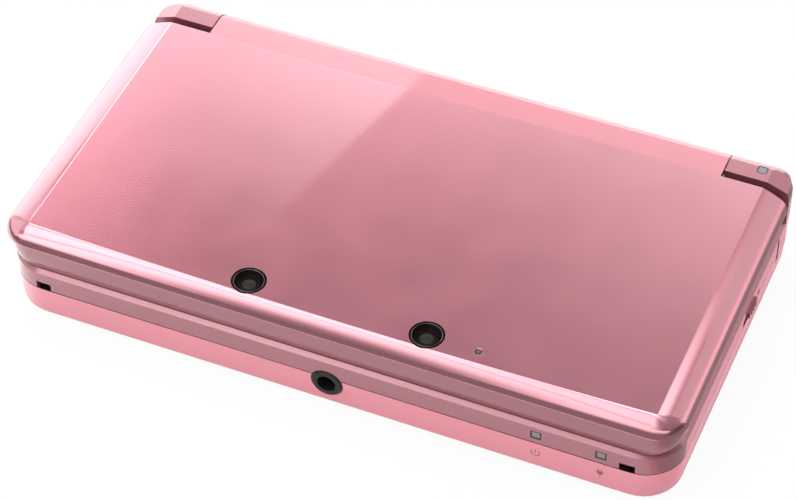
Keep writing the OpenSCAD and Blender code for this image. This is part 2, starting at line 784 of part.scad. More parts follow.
module ear_profile() {
    foot = ear_foot - hinge_z;
    intersection() {
        union() {
            circle(hinge_r);
            polygon([[-ear_front, foot], [hinge_r - 0.3, foot], [hinge_r - 0.3, -1],
                [0, 0], top_chamfer, [top_flat, hinge_r], [-ear_front, hinge_r]]);
        }
        translate([-ear_front, foot]) square([2 * hinge_r, 2 * hinge_r]);
    }
}

// Front view of an ear, slanted at its outer end
module ear_front_view() {
    polygon([[ear_x0, ear_foot], [ear_x1, ear_foot], [ear_x1, z_top - ear_taper_z],
        [ear_x1 - ear_taper_x, z_top], [ear_x0, z_top]]);
}

// Plan of an ear from its foot up: height from the axis, inset at the side and at the back, radius
ear_corner = [[-hinge_r, 0, 0, base_rb - 0.5], [1.6, 0, 0, base_rb - 0.5], [2.8, 0.1, 0.6, 5.3],
    [top_chamfer[1], 0.5, 1.5, 4.2], [hinge_r + 0.1, 2.5, 4.1, 2.6]];

module ear() {
    intersection() {
        about_hinge(ear_x0, ear_x1) ear_profile();
        translate([0, y_back + 1, 0]) rotate([90, 0, 0]) linear_extrude(console_d) ear_front_view();
        loft([for (e = ear_corner) lift(outline(ear_x1 - e[1], 0, y_back - e[2], 1, e[3], e[3]),
            hinge_z + e[0])]);
    }
}

module frame_body() {
    z0 = z_seam + seam_gap;
    difference() {
        loft([lift(base_outline(0), z0), lift(base_outline(0), z_rim - ledge_drop),
            lift(base_outline(ledge_run), z_rim)]);
        // room under the key plate, and the lower room under the trough
        intersection() {
            prism(z0 - 1, z_plate) base_plan(frame_t);
            block(-base_hx, base_hx, y_front, cav_y, 0, z_rim);
        }
        intersection() {
            prism(z0 - 1, z_roof) base_plan(frame_t);
            block(-base_hx, base_hx, cav_y - 1, y_back, 0, z_rim);
        }
        both_sides() intersection() {
            prism(z0 - 1, z_corner) base_plan(frame_t);
            block(corner_x, base_hx, cav_y - 1, y_back, 0, z_rim);
        }
        // recess of the key plate, and the trough for the barrel
        prism(z_face, z_rim + 1) polygon(outline(base_hx - rim_w, base_y0 + rim_w, cav_y - 1,
            base_rf - rim_w, 1.5, 1.5));
        rod_x(-ear_x0, ear_x0, hinge_y, hinge_z, trough_r);
        block(-ear_x0, ear_x0, hinge_y, y_back + 1, z_shelf, z_rim + 1);
    }
}

module pill(hx, hy, r, z0, z1) {
    prism(z0, z1) polygon(outline(hx, -hy, hy, r, r, r));
}

module cross_shape(l, w, r) {
    for (a = [0, 90]) rotate(a) polygon(outline(l / 2, -w / 2, w / 2, r, r, r));
}

button_places = [[0, 1], [1, 0], [0, -1], [-1, 0]];

module plate_holes() {
    zt = z_rim + 1;
    translate([0, touch_y, 0]) pill(touch_w / 2, touch_d / 2, 0.6, z_plate - 1, zt);
    post(-control_x, pad_y, z_plate - 1, zt, pad_hole_r);
    translate([-control_x, cross_y, z_plate - 1]) linear_extrude(4)
        cross_shape(cross_l + 2 * cross_gap, cross_w + 2 * cross_gap, 1);
    for (p = button_places) post(control_x + button_pitch * p[0], buttons_y + button_pitch * p[1],
        z_plate - 1, zt, button_r + key_gap);
    post(power_x, power_y, z_plate - 1, zt, power_r + key_gap);
    for (i = [-1 : 1]) translate([i * menu_pitch, menu_y, 0])
        pill(menu_w / 2 + key_gap, menu_d / 2 + key_gap, 1.1, z_plate - 1, zt);
}

light_z = z_rim - ledge_drop - 1 - light_h;

module frame_side_holes() {
    z0 = switch_z - 0.15;
    z1 = switch_z + switch_h + 0.15;
    out = base_hx + 1;
    in = base_hx - frame_t - 1;
    block(-out, -in, volume_y0 - 0.2, volume_y0 + volume_travel + volume_l + 0.2, z0, z1);
    block(in, out, wireless_y1 - wireless_travel - wireless_l - 0.2, wireless_y1 + 0.2, z0, z1);
    rod_x(in, out, wireless_y1 + 2, switch_z + switch_h / 2, 0.65);
    for (x = [power_light_x, charge_light_x]) block(x - light_w / 2 - seat_gap, x + light_w / 2 + seat_gap,
        y_front, base_y0 + frame_t + 1, light_z - seat_gap, light_z + light_h + seat_gap);
    both_sides() block(strap_x - strap_w / 2, strap_x + strap_w / 2, y_front, base_y0 + frame_t + 1,
        z_seam, z_seam + seam_gap + 1.75);
    rod_y(y_front, base_y0 + frame_t + 1, 0, jack_z, jack_r + seat_gap);
}

notify = [(ear_x0 + ear_x1) / 2 + 0.1, hinge_y + 0.4];
notify_w = 1.9;

module top_frame() {
    color(frame_pink) difference() {
        union() {
            frame_body();
            both_sides() {
                ear();
                post(front_boss[0], front_boss[1], z_lcd, z_plate + eps, boss_r);
                post(rear_boss[0], rear_boss[1], z_tray + tray_t + seat_gap, z_roof + 0.3, boss_r);
            }
        }
        plate_holes();
        frame_side_holes();
        both_sides() {
            shoulder_opening(z_seam);
            shoulder_opening_tall();
            rod_x(ear_x0 - 1, ear_x0 + hinge_pin_in + seat_gap, hinge_y, hinge_z, hinge_pin_r + 0.02);
            post(front_boss[0], front_boss[1], 0, z_plate - 0.3, frame_screw_r + 0.02);
            post(rear_boss[0], rear_boss[1], 0, z_roof - 0.2, frame_screw_r + 0.02);
        }
        translate([notify[0], notify[1], 0])
            pill(notify_w / 2 + 0.03, notify_w / 2 + 0.03, 0.4, z_top - 1, z_top + 1);
    }
}

module notification_light() {
    color(smoke) translate([notify[0], notify[1], 0])
        pill(notify_w / 2, notify_w / 2, 0.4, z_top - 0.97, z_top - 0.05);
}

module status_lights() {
    color(smoke) for (x = [power_light_x, charge_light_x]) block(x - light_w / 2, x + light_w / 2,
        base_y0 + 0.1, base_y0 + frame_t + 0.8, light_z, light_z + light_h);
}

module wireless_light() {
    color(smoke) rod_x(base_hx - frame_t - 0.8, base_hx - 0.1, wireless_y1 + 2, switch_z + switch_h / 2,
        0.6);
}

module strap_bars() {
    z0 = z_board + board_t + seat_gap;
    z1 = z_plate - seat_gap;
    color(dark) both_sides() {
        post(strap_x, base_y0 + 2.9, z0, z1, 0.6);
        block(strap_x - strap_w / 2 - 0.4, strap_x + strap_w / 2 + 0.4, base_y0 + 3.4, base_y0 + 4, z0,
            z1);
    }
}

module frame_screws() {
    color(steel) both_sides() {
        screw(front_boss[0], front_boss[1], z_tray - seat_gap - 0.8, 1.7, 0.8, z_plate - 0.4,
            frame_screw_r);
        screw(rear_boss[0], rear_boss[1], z_tray - seat_gap - 0.8, 1.7, 0.8, z_roof - 0.3, frame_screw_r);
    }
}

module shoulder_pins() {
    color(steel) both_sides()
        post(shoulder_pin[0], shoulder_pin[1], z_floor + seat_gap, z_roof - seat_gap, shoulder_pin_r);
}

module hinge_pin_left() {
    color(steel) rod_x(-ear_x0 - hinge_pin_in, -ear_x0 - hinge_pin_in + hinge_pin_l, hinge_y, hinge_z,
        hinge_pin_r);
}

// Friction clutch: a waisted cam between two round journals
module hinge_clutch_right() {
    x1 = ear_x0 + hinge_pin_in;
    color(steel) difference() {
        rod_x(x1 - hinge_pin_l, x1, hinge_y, hinge_z, hinge_pin_r);
        translate([x1 - hinge_pin_l + 3, hinge_y, hinge_z]) rotate([0, 90, 0]) difference() {
            cylinder(h = 2, r = hinge_pin_r + 1);
            cylinder(h = 2, r = hinge_pin_r - 0.7);
        }
    }
}

// ---------------------------------------------------------------- keys

module slide_pad_housing() {
    w = pad_flange_r + 1.2;
    color(dark) translate([-control_x, pad_y, 0]) difference() {
        pill(w, w, 1, z_lcd, z_carriage + carriage_t - 0.1);
        block(-w - 1, w + 1, -w + 1, w - 1, z_carriage - seat_gap, z_rim);
    }
}

module slide_pad_carriage() {
    hx = pad_flange_r - 1;
    hy = pad_flange_r + 0.1;
    color(smoke) translate([-control_x, pad_y, 0]) difference() {
        pill(hx, hy, 1, z_carriage, z_carriage + carriage_t);
        block(-tongue[0] / 2 - run_gap, tongue[0] / 2 + run_gap, -tongue[1] / 2 - pad_travel - 0.2,
            tongue[1] / 2 + pad_travel + 0.2, 0, z_rim);
    }
}

module slide_pad() {
    color(smoke) translate([-control_x, pad_y, 0]) difference() {
        union() {
            post(0, 0, z_flange, z_flange + pad_flange_t, pad_flange_r);
            post(0, 0, z_flange, z_face, pad_r - 2.5);
            translate([0, 0, z_face - 0.5]) rotate_extrude()
                polygon([[0, 0], [pad_r - 0.5, 0], [pad_r, 0.5],
                [pad_r, pad_top - z_face + 0.1], [pad_r - 0.4, pad_top - z_face + 0.5],
                    [0, pad_top - z_face + 0.5]]);
            block(-tongue[0] / 2, tongue[0] / 2, -tongue[1] / 2, tongue[1] / 2, z_flange - tongue[2],
                z_flange + eps);
        }
        translate([0, 0, pad_top + 21.4]) sphere(r = 22, $fn = 96);
    }
}

module dpad_pivot() {
    color(rubber) translate([-control_x, cross_y, cross_pivot_z]) {
        sphere(r = 0.7);
        translate([0, 0, -0.2]) cylinder(h = 0.25, r = 2);
    }
}

module dpad() {
    z0 = cross_pivot_z + 0.25;
    color(dark) translate([-control_x, cross_y, 0]) {
        difference() {
            union() {
                post(0, 0, z0, z0 + 0.5, cross_flange_r);
                prism(z0, z_cross) cross_shape(cross_l, cross_w, 1);
            }
            translate([0, 0, cross_pivot_z]) sphere(r = 0.8);
            translate([0, 0, z_cross + 7.6]) sphere(r = 8.1);
        }
    }
}

module face_button(x, y) {
    r = button_r;
    h = z_face + key_proud - z_plate;
    foot = z_lcd + pad_sheet_t + button_travel + seat_gap - z_plate;
    color(smoke) translate([control_x + x * button_pitch, buttons_y + y * button_pitch, z_plate])
        rotate_extrude() polygon([[0, foot], [r - 1, foot], [r - 1, -0.75], [r + button_flange, -0.75],
            [r + button_flange, -0.15], [r, -0.15], [r, h - 0.5], [r - 0.15, h - 0.15], [r - 0.5, h],
                [0, h + 0.1]]);
}

module face_button_back() { face_button(0, 1); }
module face_button_right() { face_button(1, 0); }
module face_button_front() { face_button(0, -1); }
module face_button_left() { face_button(-1, 0); }

module power_button() {
    r = power_r;
    color(smoke) translate([power_x, power_y, z_plate]) rotate_extrude()
        polygon([[0, -0.7], [r + 0.5, -0.7], [r + 0.5, -0.1], [r, -0.1], [r, plate_t + 0.2],
            [r - 0.3, plate_t + 0.4], [0, plate_t + 0.4]]);
}

module menu_key(i) {
    color(dark) translate([i * menu_pitch, menu_y, 0]) {
        pill(menu_w / 2 + 0.5, menu_d / 2 + 0.5, 1.4, z_plate - key_flange, z_plate - 0.1);
        pill(menu_w / 2, menu_d / 2, 1, z_plate - key_flange, z_face + 0.35);
    }
}

module select_key() { menu_key(-1); }
module home_key() { menu_key(0); }
module start_key() { menu_key(1); }

// Shoulder button on the right: a strip that follows the base's back corner, on an eye
module shoulder_button() {
    difference() {
        union() {
            intersection() {
                difference() {
                    prism(shoulder_z0, shoulder_z2) base_plan(0.05);
                    prism(0, z_top) base_plan(shoulder_t);
                }
                union() {
                    block(shoulder_x0, base_hx, shoulder_pin[1], y_back, 0, shoulder_z1);
                    block(corner_x + 0.2, base_hx, shoulder_y0, y_back, 0, shoulder_z1);
                    block(corner_x + 0.3, base_hx, shoulder_y0, y_back, 0, shoulder_z2);
                }
            }
            post(shoulder_pin[0], shoulder_pin[1], shoulder_z0, shoulder_z1, shoulder_pin_r + 0.9);
            block(shoulder_pin[0] - 1, shoulder_pin[0] + 3, shoulder_pin[1] + 0.3,
                base_y1 - shoulder_t + 0.1,
                shoulder_z0, shoulder_z1);
        }
        post(shoulder_pin[0], shoulder_pin[1], 0, z_top, shoulder_pin_r + run_gap);
    }
}

module shoulder_button_right() { color(frame_pink) shoulder_button(); }
module shoulder_button_left() { color(frame_pink) mirror([1, 0, 0]) shoulder_button(); }

// Knob of a side switch on the right-hand wall, its back end at y1
module side_knob(y1, l) {
    y0 = y1 - l;
    block(base_hx - frame_t - 0.5, base_hx + knob_out, y0, y1, switch_z, switch_z + switch_h);
    block(base_hx - frame_t - 0.2 - switch_flange, base_hx - frame_t - 0.15, y0 - 0.6, y1 + 0.6,
        switch_z - 0.25, switch_z + switch_h + 0.25);
    for (i = [0 : 2]) block(base_hx, base_hx + knob_out + 0.15, y0 + l * (i + 0.8) / 4,
        y0 + l * (i + 1.2) / 4,
        switch_z + 0.2, switch_z + switch_h - 0.2);
}

module volume_slider() {
    color(smoke) mirror([1, 0, 0]) side_knob(volume_y0 + volume_l, volume_l);
}

module wireless_switch() {
    color(smoke) side_knob(wireless_y1, wireless_l);
}

// ---------------------------------------------------------------- stylus

stylus_y1 = base_y1;
stylus_y0 = stylus_y1 - stylus_l;

module stylus_barrel() {
    color(steel) difference() {
        union() {
            rod_y(stylus_y0, stylus_y1 - 4, stylus_x, stylus_z, stylus_r);
            rod_y(stylus_y1 - 4 - eps, stylus_y1 - 0.05, stylus_x, stylus_z, stylus_r - 0.1);
        }
        rod_y(stylus_y0 - 1, stylus_y1 - 5, stylus_x, stylus_z, rod_r + run_gap);
        block(stylus_x - 1.2, stylus_x + 1.2, stylus_y1 - 0.6, y_back, 0, stylus_z - stylus_r + 1);
    }
}

module stylus_rod() {
    color(steel) translate([stylus_x, stylus_y0 - rod_out, stylus_z]) rotate([-90, 0, 0]) rotate_extrude()
        polygon([[0, 0], [0.4, 0.1], [0.75, 0.6], [rod_r, rod_out - 2], [rod_r, stylus_l - 14],
            [0, stylus_l - 14]]);
}

// ---------------------------------------------------------------- lid

lid_rbx = 5.2;      // slant of the lid's back corners, across
lid_rby = 1.3;      // slant of the lid's back corners, along

edge_z = z_top - edge_drop;
crown = 0.4;        // share of the slope's angle that is left where it meets the flat top
front_n = 8;        // steps along the bowed front edge

// Angle at which the rounding of the side runs into a crowned slope of the given run
function edge_height(run, a) = lid_edge_r * cos(a)
    + (run - lid_edge_r * (1 - sin(a))) * (tan(a) + tan(crown * a)) / 2;
function edge_angle(run, lo = 5, hi = 60, n = 18) = let (a = (lo + hi) / 2) n == 0 ? a
    : edge_height(run, a) < edge_drop ? edge_angle(run, a, hi, n - 1) : edge_angle(run, lo, a, n - 1);

// Section of the cover's edge from its side up to the flat top: [inset, height]
function edge_section(run) = let (a = edge_angle(run), x0 = lid_edge_r * (1 - sin(a)),
    z0 = edge_z + lid_edge_r * cos(a), l = run - x0) concat(
    [[0.05, z_part]],
    [for (i = [0 : 4]) let (t = (90 - a) * i / 4)
        [lid_edge_r * (1 - cos(t)), edge_z + lid_edge_r * sin(t)]],
    [[x0 + l / 2, z0 + l * (tan(a) * 3 + tan(crown * a)) / 8]],
    [[run, z_top]]);

side_section = edge_section(bevel_run);
end_section = edge_section(front_run);
middle_section = edge_section(front_run - front_bow);

function blend(p, q, t) = p + (q - p) * t;

// Ring i of the cover: the sides follow one section, the front another, bowed out in its middle
function lid_ring(i) = let (s = side_section[i], e = end_section[i], m = middle_section[i],
    r = max(0.4, lid_rf - s[0] * 1.05), rx = max(0.4, lid_rbx - s[0]), ry = max(0.1, lid_rby - s[0] * 0.22),
    x = lid_hx - s[0] - r, y = lid_y0 + e[0] + r) concat(
    [for (k = [0 : arc_n]) let (a = 90 * k / arc_n)
        [x + r * sin(a), y - r * cos(a), blend(e[1], s[1], k / arc_n)]],
    lift(corner(lid_hx - s[0] - rx, lid_y1 - ry, rx, ry, 0), s[1]),
    lift(corner(-lid_hx + s[0] + rx, lid_y1 - ry, rx, ry, 90), s[1]),
    [for (k = [0 : arc_n]) let (a = 90 * k / arc_n)
        [-x - r * cos(a), y - r * sin(a), blend(s[1], e[1], k / arc_n)]],
    [for (k = [1 : front_n - 1]) let (u = 2 * k / front_n - 1)
        [u * x, lid_y0 + blend(e[0], m[0], 1 - u * u), blend(e[1], m[1], 1 - u * u)]]);

module lid_cover_body() {
    loft([for (i = [0 : len(side_section) - 1]) lid_ring(i)]);
}

module lid_cover_room() {
    t = lid_cover_t;
    y1 = lid_y1 - t;
    loft([
        lift(outline(lid_hx - t, lid_y0 + t, y1, lid_rf - t, 4, 1), z_part - 1),
        lift(outline(lid_hx - t, lid_y0 + t, y1, lid_rf - t, 4, 1), edge_z),
        lift(outline(lid_hx - t - 0.5, lid_y0 + t + 0.5, y1, lid_rf - t - 0.5, 3.6, 1), edge_z + 0.35),
        lift(outline(lid_hx - bevel_run, lid_y0 + bevel_run, y1 - 0.5, 1, 1, 1), z_top - t)]);
}

// Hollow that lets the lid's back corners turn round the ears
module ear_relief() {
    both_sides() rod_x(barrel_hx, lid_hx + 1, hinge_y, hinge_z, relief_r);
}

module lid_outer_cover() {
    color(lid_pink) difference() {
        lid_cover_body();
        lid_cover_room();
        ear_relief();
        for (x = [-camera_pitch / 2, camera_pitch / 2])
            post(x, camera_y, z_part, z_top + 1, camera_r + seat_gap);
        post(record_x, record_y, z_part, z_top + 1, record_r + 0.03);
    }
}

// Side of the inner shell: waisted towards the rim
shell_ring = [[0, 1], [0.06, 0.78], [0.3, 0.5], [0.65, 0.22], [1, 0.08]];

function shell_outline(inset) = outline(lid_hx - inset, lid_y0 + inset * 0.6, lid_y1 - 0.02,
    lid_rf + 1 - inset, max(0.4, lid_rbx - inset), lid_rby);

module lid_inner_shell() {
    h = z_part - part_line - z_lid;
    t = lid_shell_t;
    color(frame_pink) difference() {
        union() {
            loft([for (s = shell_ring) lift(shell_outline(rim_inset * s[1]), z_lid + h * s[0])]);
            // lip that locates the outer cover
            prism(z_part - 1, z_part + 0.8) difference() {
                polygon(outline(lid_hx - lid_cover_t - 0.1, lid_y0 + lid_cover_t + 0.1,
                    lid_y1 - lid_cover_t - 0.1,
                    lid_rf - lid_cover_t, 4, 1));
                polygon(outline(lid_hx - lid_cover_t - 0.8, lid_y0 + lid_cover_t + 0.8,
                    lid_y1 - lid_cover_t - 0.8,
                    lid_rf - lid_cover_t - 0.7, 4, 1));
            }
        }
        prism(z_screen_in, z_part + 2) polygon(outline(lid_hx - rim_inset - t + 0.6, lid_y0 + t + 0.6,
            lid_y1 - t,
            lid_rf - 1, 4, 1));
        prism(z_lid - 1, z_screen) polygon(outline(lid_hx - rim_inset - 1.6, lid_y0 + 2.6, lid_y1 - 1.2,
            lid_rf - 1, 3, 1));
        ear_relief();
        translate([0, screen_y, 0]) {
            pill(glass_hx + seat_gap, glass_hy + seat_gap, 2, 0, z_screen + glass_t + seat_gap);
            pill(screen_w / 2 + 0.3, screen_d / 2 + 0.3, 0.5, 0, z_part);
        }
        both_sides() {
            for (i = [0 : 3], j = [0 : 2]) post(speaker_x + 2 * (j - 1), screen_y - 4.5 + 3 * i, 0,
                z_part, 0.6);
            for (y = [lid_screw[1], lid_screw_back]) {
                post(lid_screw[0], y, 0, z_part, 0.95);
                post(lid_screw[0], y, 0, z_screen + 0.5, 1.9);
            }
            for (y = [bumper[1], bumper_back]) post(bumper[0], y, 0, z_screen + 0.5, bumper_r + seat_gap);
        }
        post(0, inner_camera_y, 0, z_part, 1.5);
        block(depth_x - depth_w / 2 - 0.15, depth_x + depth_w / 2 + 0.15,
            depth_y1 - depth_travel - depth_l - 0.2,
            depth_y1 + 0.2, 0, z_part - 1);
    }
}

module barrel_profile() {
    front = -lid_setback + part_line;
    intersection() {
        union() {
            circle(hinge_r);
            polygon([[front, -3], [0, 0], top_chamfer, [top_flat, hinge_r], [front, hinge_r]]);
        }
        translate([front, -hinge_r]) square([2 * hinge_r, 2 * hinge_r]);
    }
}

module hinge_barrel() {
    pin_end = ear_x0 + hinge_pin_in - hinge_pin_l - 0.1;
    color(lid_pink) difference() {
        about_hinge(-barrel_hx, barrel_hx) barrel_profile();
        both_sides() rod_x(pin_end, barrel_hx + 1, hinge_y, hinge_z, hinge_pin_r + run_gap);
        rod_x(-pin_end + 2, pin_end - 2, hinge_y, hinge_z, hinge_r - 2.1);
    }
}

module upper_glass() {
    color(dark) translate([0, screen_y, 0]) pill(glass_hx, glass_hy, 2, z_screen, z_screen + glass_t);
}

module upper_display() {
    color(steel) translate([0, screen_y, 0]) difference() {
        pill(glass_hx - 0.5, glass_hy - 1, 0.6, z_screen_in + seat_gap,
            z_screen_in + seat_gap + upper_display_t);
        for (i = [-1, 1]) block(i * 20 - 6, i * 20 + 6, -8, 8, z_screen_in + upper_display_t - 0.3,
            z_part);
    }
}

module camera_board() {
    hx = camera_pitch / 2 + 12;
    color(board_green) difference() {
        union() {
            block(-hx, hx, lid_y0 + 2.7, camera_y + 3.2, camera_board_z, camera_board_z + 0.8);
            // standoffs on the screen plate
            both_sides() post(hx - 2, camera_y, z_screen_in + seat_gap, camera_board_z + eps, 1.6);
        }
        both_sides() post(hx - 2, camera_y, camera_board_z - 1, z_part, 0.6);
    }
}

camera_seat = [6, 5.4, 0.9];

module camera_modules() {
    z0 = camera_board_z + 0.8;
    color(dark) for (x = [-camera_pitch / 2, camera_pitch / 2]) translate([x, camera_y, z0]) {
        difference() {
            union() {
                block(-camera_seat[0] / 2, camera_seat[0] / 2, -camera_seat[1] / 2, camera_seat[1] / 2,
                    0, camera_seat[2]);
                cylinder(h = camera_z - z0 - 0.35, r = lens_r + 0.9);
            }
            translate([0, 0, camera_z - z0 - 0.6]) cylinder(h = 1, r = lens_r);
        }
        // lens with a domed face
        intersection() {
            translate([0, 0, camera_z - z0 - 0.62]) cylinder(h = 0.5, r = lens_r - 0.02);
            translate([0, 0, camera_z - z0 - 0.2 - 5]) sphere(r = 5, $fn = 96);
        }
    }
}

// Each ring stands in the cover with a dished face down to its lens
module camera_rings() {
    color(dark) for (x = [-camera_pitch / 2, camera_pitch / 2]) translate([x, camera_y, camera_z])
        rotate_extrude() polygon([[lens_r + 0.25, -0.3], [camera_r, -0.3], [camera_r, 0.7],
            [camera_r - 0.25, 0.9], [camera_r - 0.55, 0.9], [lens_r + 0.25, 0.05]]);
}

module recording_light() {
    z_tip = z_top - 0.02;
    color(smoke) union() {
        post(record_x, record_y, camera_board_z + 0.85, z_tip, record_r);
        post(record_x, record_y, camera_board_z + 0.85, z_top - lid_cover_t - 0.4, record_r + 0.5);
    }
}

module inner_camera() {
    color(dark) difference() {
        union() {
            post(0, inner_camera_y, z_screen_in + seat_gap, camera_board_z - seat_gap, 1.9);
            post(0, inner_camera_y, z_screen + 0.15, z_screen_in + 0.1, 1.4);
        }
        post(0, inner_camera_y, 0, z_screen + 0.5, 0.9);
    }
}

speaker = [4.6, 8, 2.8];    // half width, half length, height
speaker_wall = 1.2;

module speakers() {
    color(dark) both_sides() difference() {
        translate([speaker_x, screen_y, 0])
            pill(speaker[0], speaker[1], 1.5, z_screen_in + seat_gap, z_screen_in + speaker[2]);
        translate([speaker_x, screen_y, 0])
            pill(speaker[0] - speaker_wall, speaker[1] - speaker_wall, 1, z_screen_in, z_screen_in + 0.6);
    }
}

module lid_bumpers() {
    color(rubber) both_sides() for (y = [bumper[1], bumper_back])
        translate([bumper[0], y, z_face + seat_gap])
        rotate_extrude() polygon([[0, 0], [bumper_r - 0.4, 0], [bumper_r, 0.4],
            [bumper_r, z_screen + 0.5 - z_face - 2 * seat_gap],
                [0, z_screen + 0.5 - z_face - 2 * seat_gap]]);
}

module lid_screws() {
    color(steel) both_sides() for (y = [lid_screw[1], lid_screw_back])
        screw(lid_screw[0], y, z_screen + 0.05, 1.8, 0.4, z_part - 0.2, 0.9);
}

module depth_slider() {
    y0 = depth_y1 - depth_l;
    color(smoke) {
        block(depth_x - depth_w / 2, depth_x + depth_w / 2, y0, depth_y1, z_screen - 0.5,
            z_screen_in + 0.3);
        block(depth_x - depth_w / 2 - 0.4, depth_x + depth_w / 2 + 0.4, y0 - 1, depth_y1 + 1,
            z_screen_in + seat_gap, z_screen_in + 0.7);
        for (i = [0 : 2]) block(depth_x - depth_w / 2 + 0.3, depth_x + depth_w / 2 - 0.3,
            y0 + 1.2 + 1.5 * i,
            y0 + 1.8 + 1.5 * i, z_screen - 0.6, z_screen);
    }
}

bottom_cover();
cover_screws();
rubber_feet();
inner_tray();
battery();
main_board();
top_frame();
touch_panel();
lower_display();
button_pads();
slide_pad_housing();
slide_pad_carriage();
slide_pad();
dpad_pivot();
dpad();
face_button_back();
face_button_right();
face_button_front();
face_button_left();
select_key();
home_key();
start_key();
power_button();
shoulder_button_left();
shoulder_button_right();
shoulder_pins();
volume_slider();
wireless_switch();
wireless_light();
status_lights();
notification_light();
headphone_jack();
game_card_slot();
memory_card_slot();
memory_card_flap();
charging_port();
cradle_contacts();
infrared_window();
stylus_barrel();
stylus_rod();
strap_bars();
frame_screws();
hinge_pin_left();
hinge_clutch_right();
lid_outer_cover();
lid_inner_shell();
hinge_barrel();
upper_glass();
upper_display();
camera_board();
camera_rings();
camera_modules();
recording_light();
inner_camera();
speakers();
lid_bumpers();
lid_screws();
depth_slider();
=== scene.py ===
"""Closed clamshell handheld console: finishes, fine pieces, studio and camera over the frame."""
import json
import math

import bmesh
import bpy
from mathutils import Matrix, Vector
from mathutils.bvhtree import BVHTree


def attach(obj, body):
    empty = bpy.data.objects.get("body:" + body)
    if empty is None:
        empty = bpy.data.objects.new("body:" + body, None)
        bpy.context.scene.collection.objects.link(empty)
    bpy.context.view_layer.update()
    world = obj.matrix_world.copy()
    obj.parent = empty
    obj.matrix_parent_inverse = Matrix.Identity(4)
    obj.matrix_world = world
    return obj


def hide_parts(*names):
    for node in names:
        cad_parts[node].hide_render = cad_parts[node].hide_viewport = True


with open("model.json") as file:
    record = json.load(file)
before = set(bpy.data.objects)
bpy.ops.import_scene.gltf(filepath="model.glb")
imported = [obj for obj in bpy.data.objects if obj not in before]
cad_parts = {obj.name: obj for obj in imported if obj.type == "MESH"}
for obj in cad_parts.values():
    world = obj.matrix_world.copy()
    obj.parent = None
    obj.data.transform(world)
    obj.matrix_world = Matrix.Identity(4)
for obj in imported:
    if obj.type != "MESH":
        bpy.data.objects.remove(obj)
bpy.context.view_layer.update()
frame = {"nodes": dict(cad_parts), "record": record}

MM = 0.001
SHARP_EDGE_ANGLE = 35.0
EDGE_ROUND, SEAM_ROUND, BACK_ROUND, HOLE_ROUND = 0.06, 0.2, 0.35, 0.17  # millimetres


# ---------------------------------------------------------------- shader expressions

class Wire:
    """One output socket of a node, with arithmetic that adds Math nodes."""

    def __init__(self, graph, socket):
        self.graph = graph
        self.socket = socket

    def math(self, operation, *operands):
        return self.graph.add("ShaderNodeMath", {"operation": operation}, dict(enumerate(operands)))

    def __add__(self, other):
        return self.math("ADD", self, other)

    def __radd__(self, other):
        return self.math("ADD", other, self)

    def __sub__(self, other):
        return self.math("SUBTRACT", self, other)

    def __rsub__(self, other):
        return self.math("SUBTRACT", other, self)

    def __mul__(self, other):
        return self.math("MULTIPLY", self, other)

    def __rmul__(self, other):
        return self.math("MULTIPLY", other, self)

    def __truediv__(self, other):
        return self.math("DIVIDE", self, other)

    def __abs__(self):
        return self.math("ABSOLUTE", self)

    def __lt__(self, other):
        return self.math("LESS_THAN", self, other)

    def smaller(self, other):
        return self.math("MINIMUM", self, other)

    def larger(self, other):
        return self.math("MAXIMUM", self, other)


class Graph:
    """A node tree, emptied, and the calls that fill it."""

    def __init__(self, tree):
        self.tree = tree
        self.tree.nodes.clear()

    def add(self, kind, settings=None, inputs=None, output=0):
        """One node, with the values or wires of its sockets; a list is several wires to one."""
        node = self.tree.nodes.new(kind)
        for name, value in (settings or {}).items():
            setattr(node, name, value)
        for key, value in (inputs or {}).items():
            socket = node.inputs[key]
            for item in value if isinstance(value, list) else [value]:
                if isinstance(item, Wire):
                    self.tree.links.new(item.socket, socket)
                else:
                    socket.default_value = item
        return Wire(self, node.outputs[output]) if node.outputs else None

    def blend(self, share, low, high):
        """Colour between low and high."""
        as_colour = [c if isinstance(c, Wire) else (*c, 1.0) for c in (low, high)]
        return self.add("ShaderNodeMix", {"data_type": "RGBA", "clamp_factor": True},
                        {0: share, 6: as_colour[0], 7: as_colour[1]}, output=2)

    def place_mm(self):
        """Object coordinates in millimetres."""
        place = self.add("ShaderNodeTexCoord", output="Object")
        return self.add("ShaderNodeVectorMath", {"operation": "SCALE"}, {0: place, "Scale": 1000.0})

    def split(self, vector):
        """The X, Y and Z of a vector."""
        first = self.add("ShaderNodeSeparateXYZ", None, {0: vector})
        return [Wire(self, socket) for socket in first.socket.node.outputs]

    def noise(self, place, size_mm, detail=2.0, roughness=0.5):
        return self.add("ShaderNodeTexNoise", {"normalize": True},
                        {"Vector": place, "Scale": 1.0 / size_mm, "Detail": detail,
                         "Roughness": roughness})

    def bump(self, height, strength, depth_mm):
        return self.add("ShaderNodeBump", None,
                        {"Height": height, "Strength": strength, "Distance": depth_mm * MM})

    def surface(self, **values):
        """Principled surface straight to the output; keys are socket names with _ for spaces."""
        inputs = {k.replace("_", " "): v for k, v in values.items()}
        shader = self.add("ShaderNodeBsdfPrincipled", None, inputs)
        self.add("ShaderNodeOutputMaterial", None, {"Surface": shader})


def new_material(name):
    material = bpy.data.materials.new(name)
    material.use_nodes = True
    return material, Graph(material.node_tree)


def shade(colour, factor):
    return [min(1.0, c * factor) for c in colour]


# ---------------------------------------------------------------- finishes

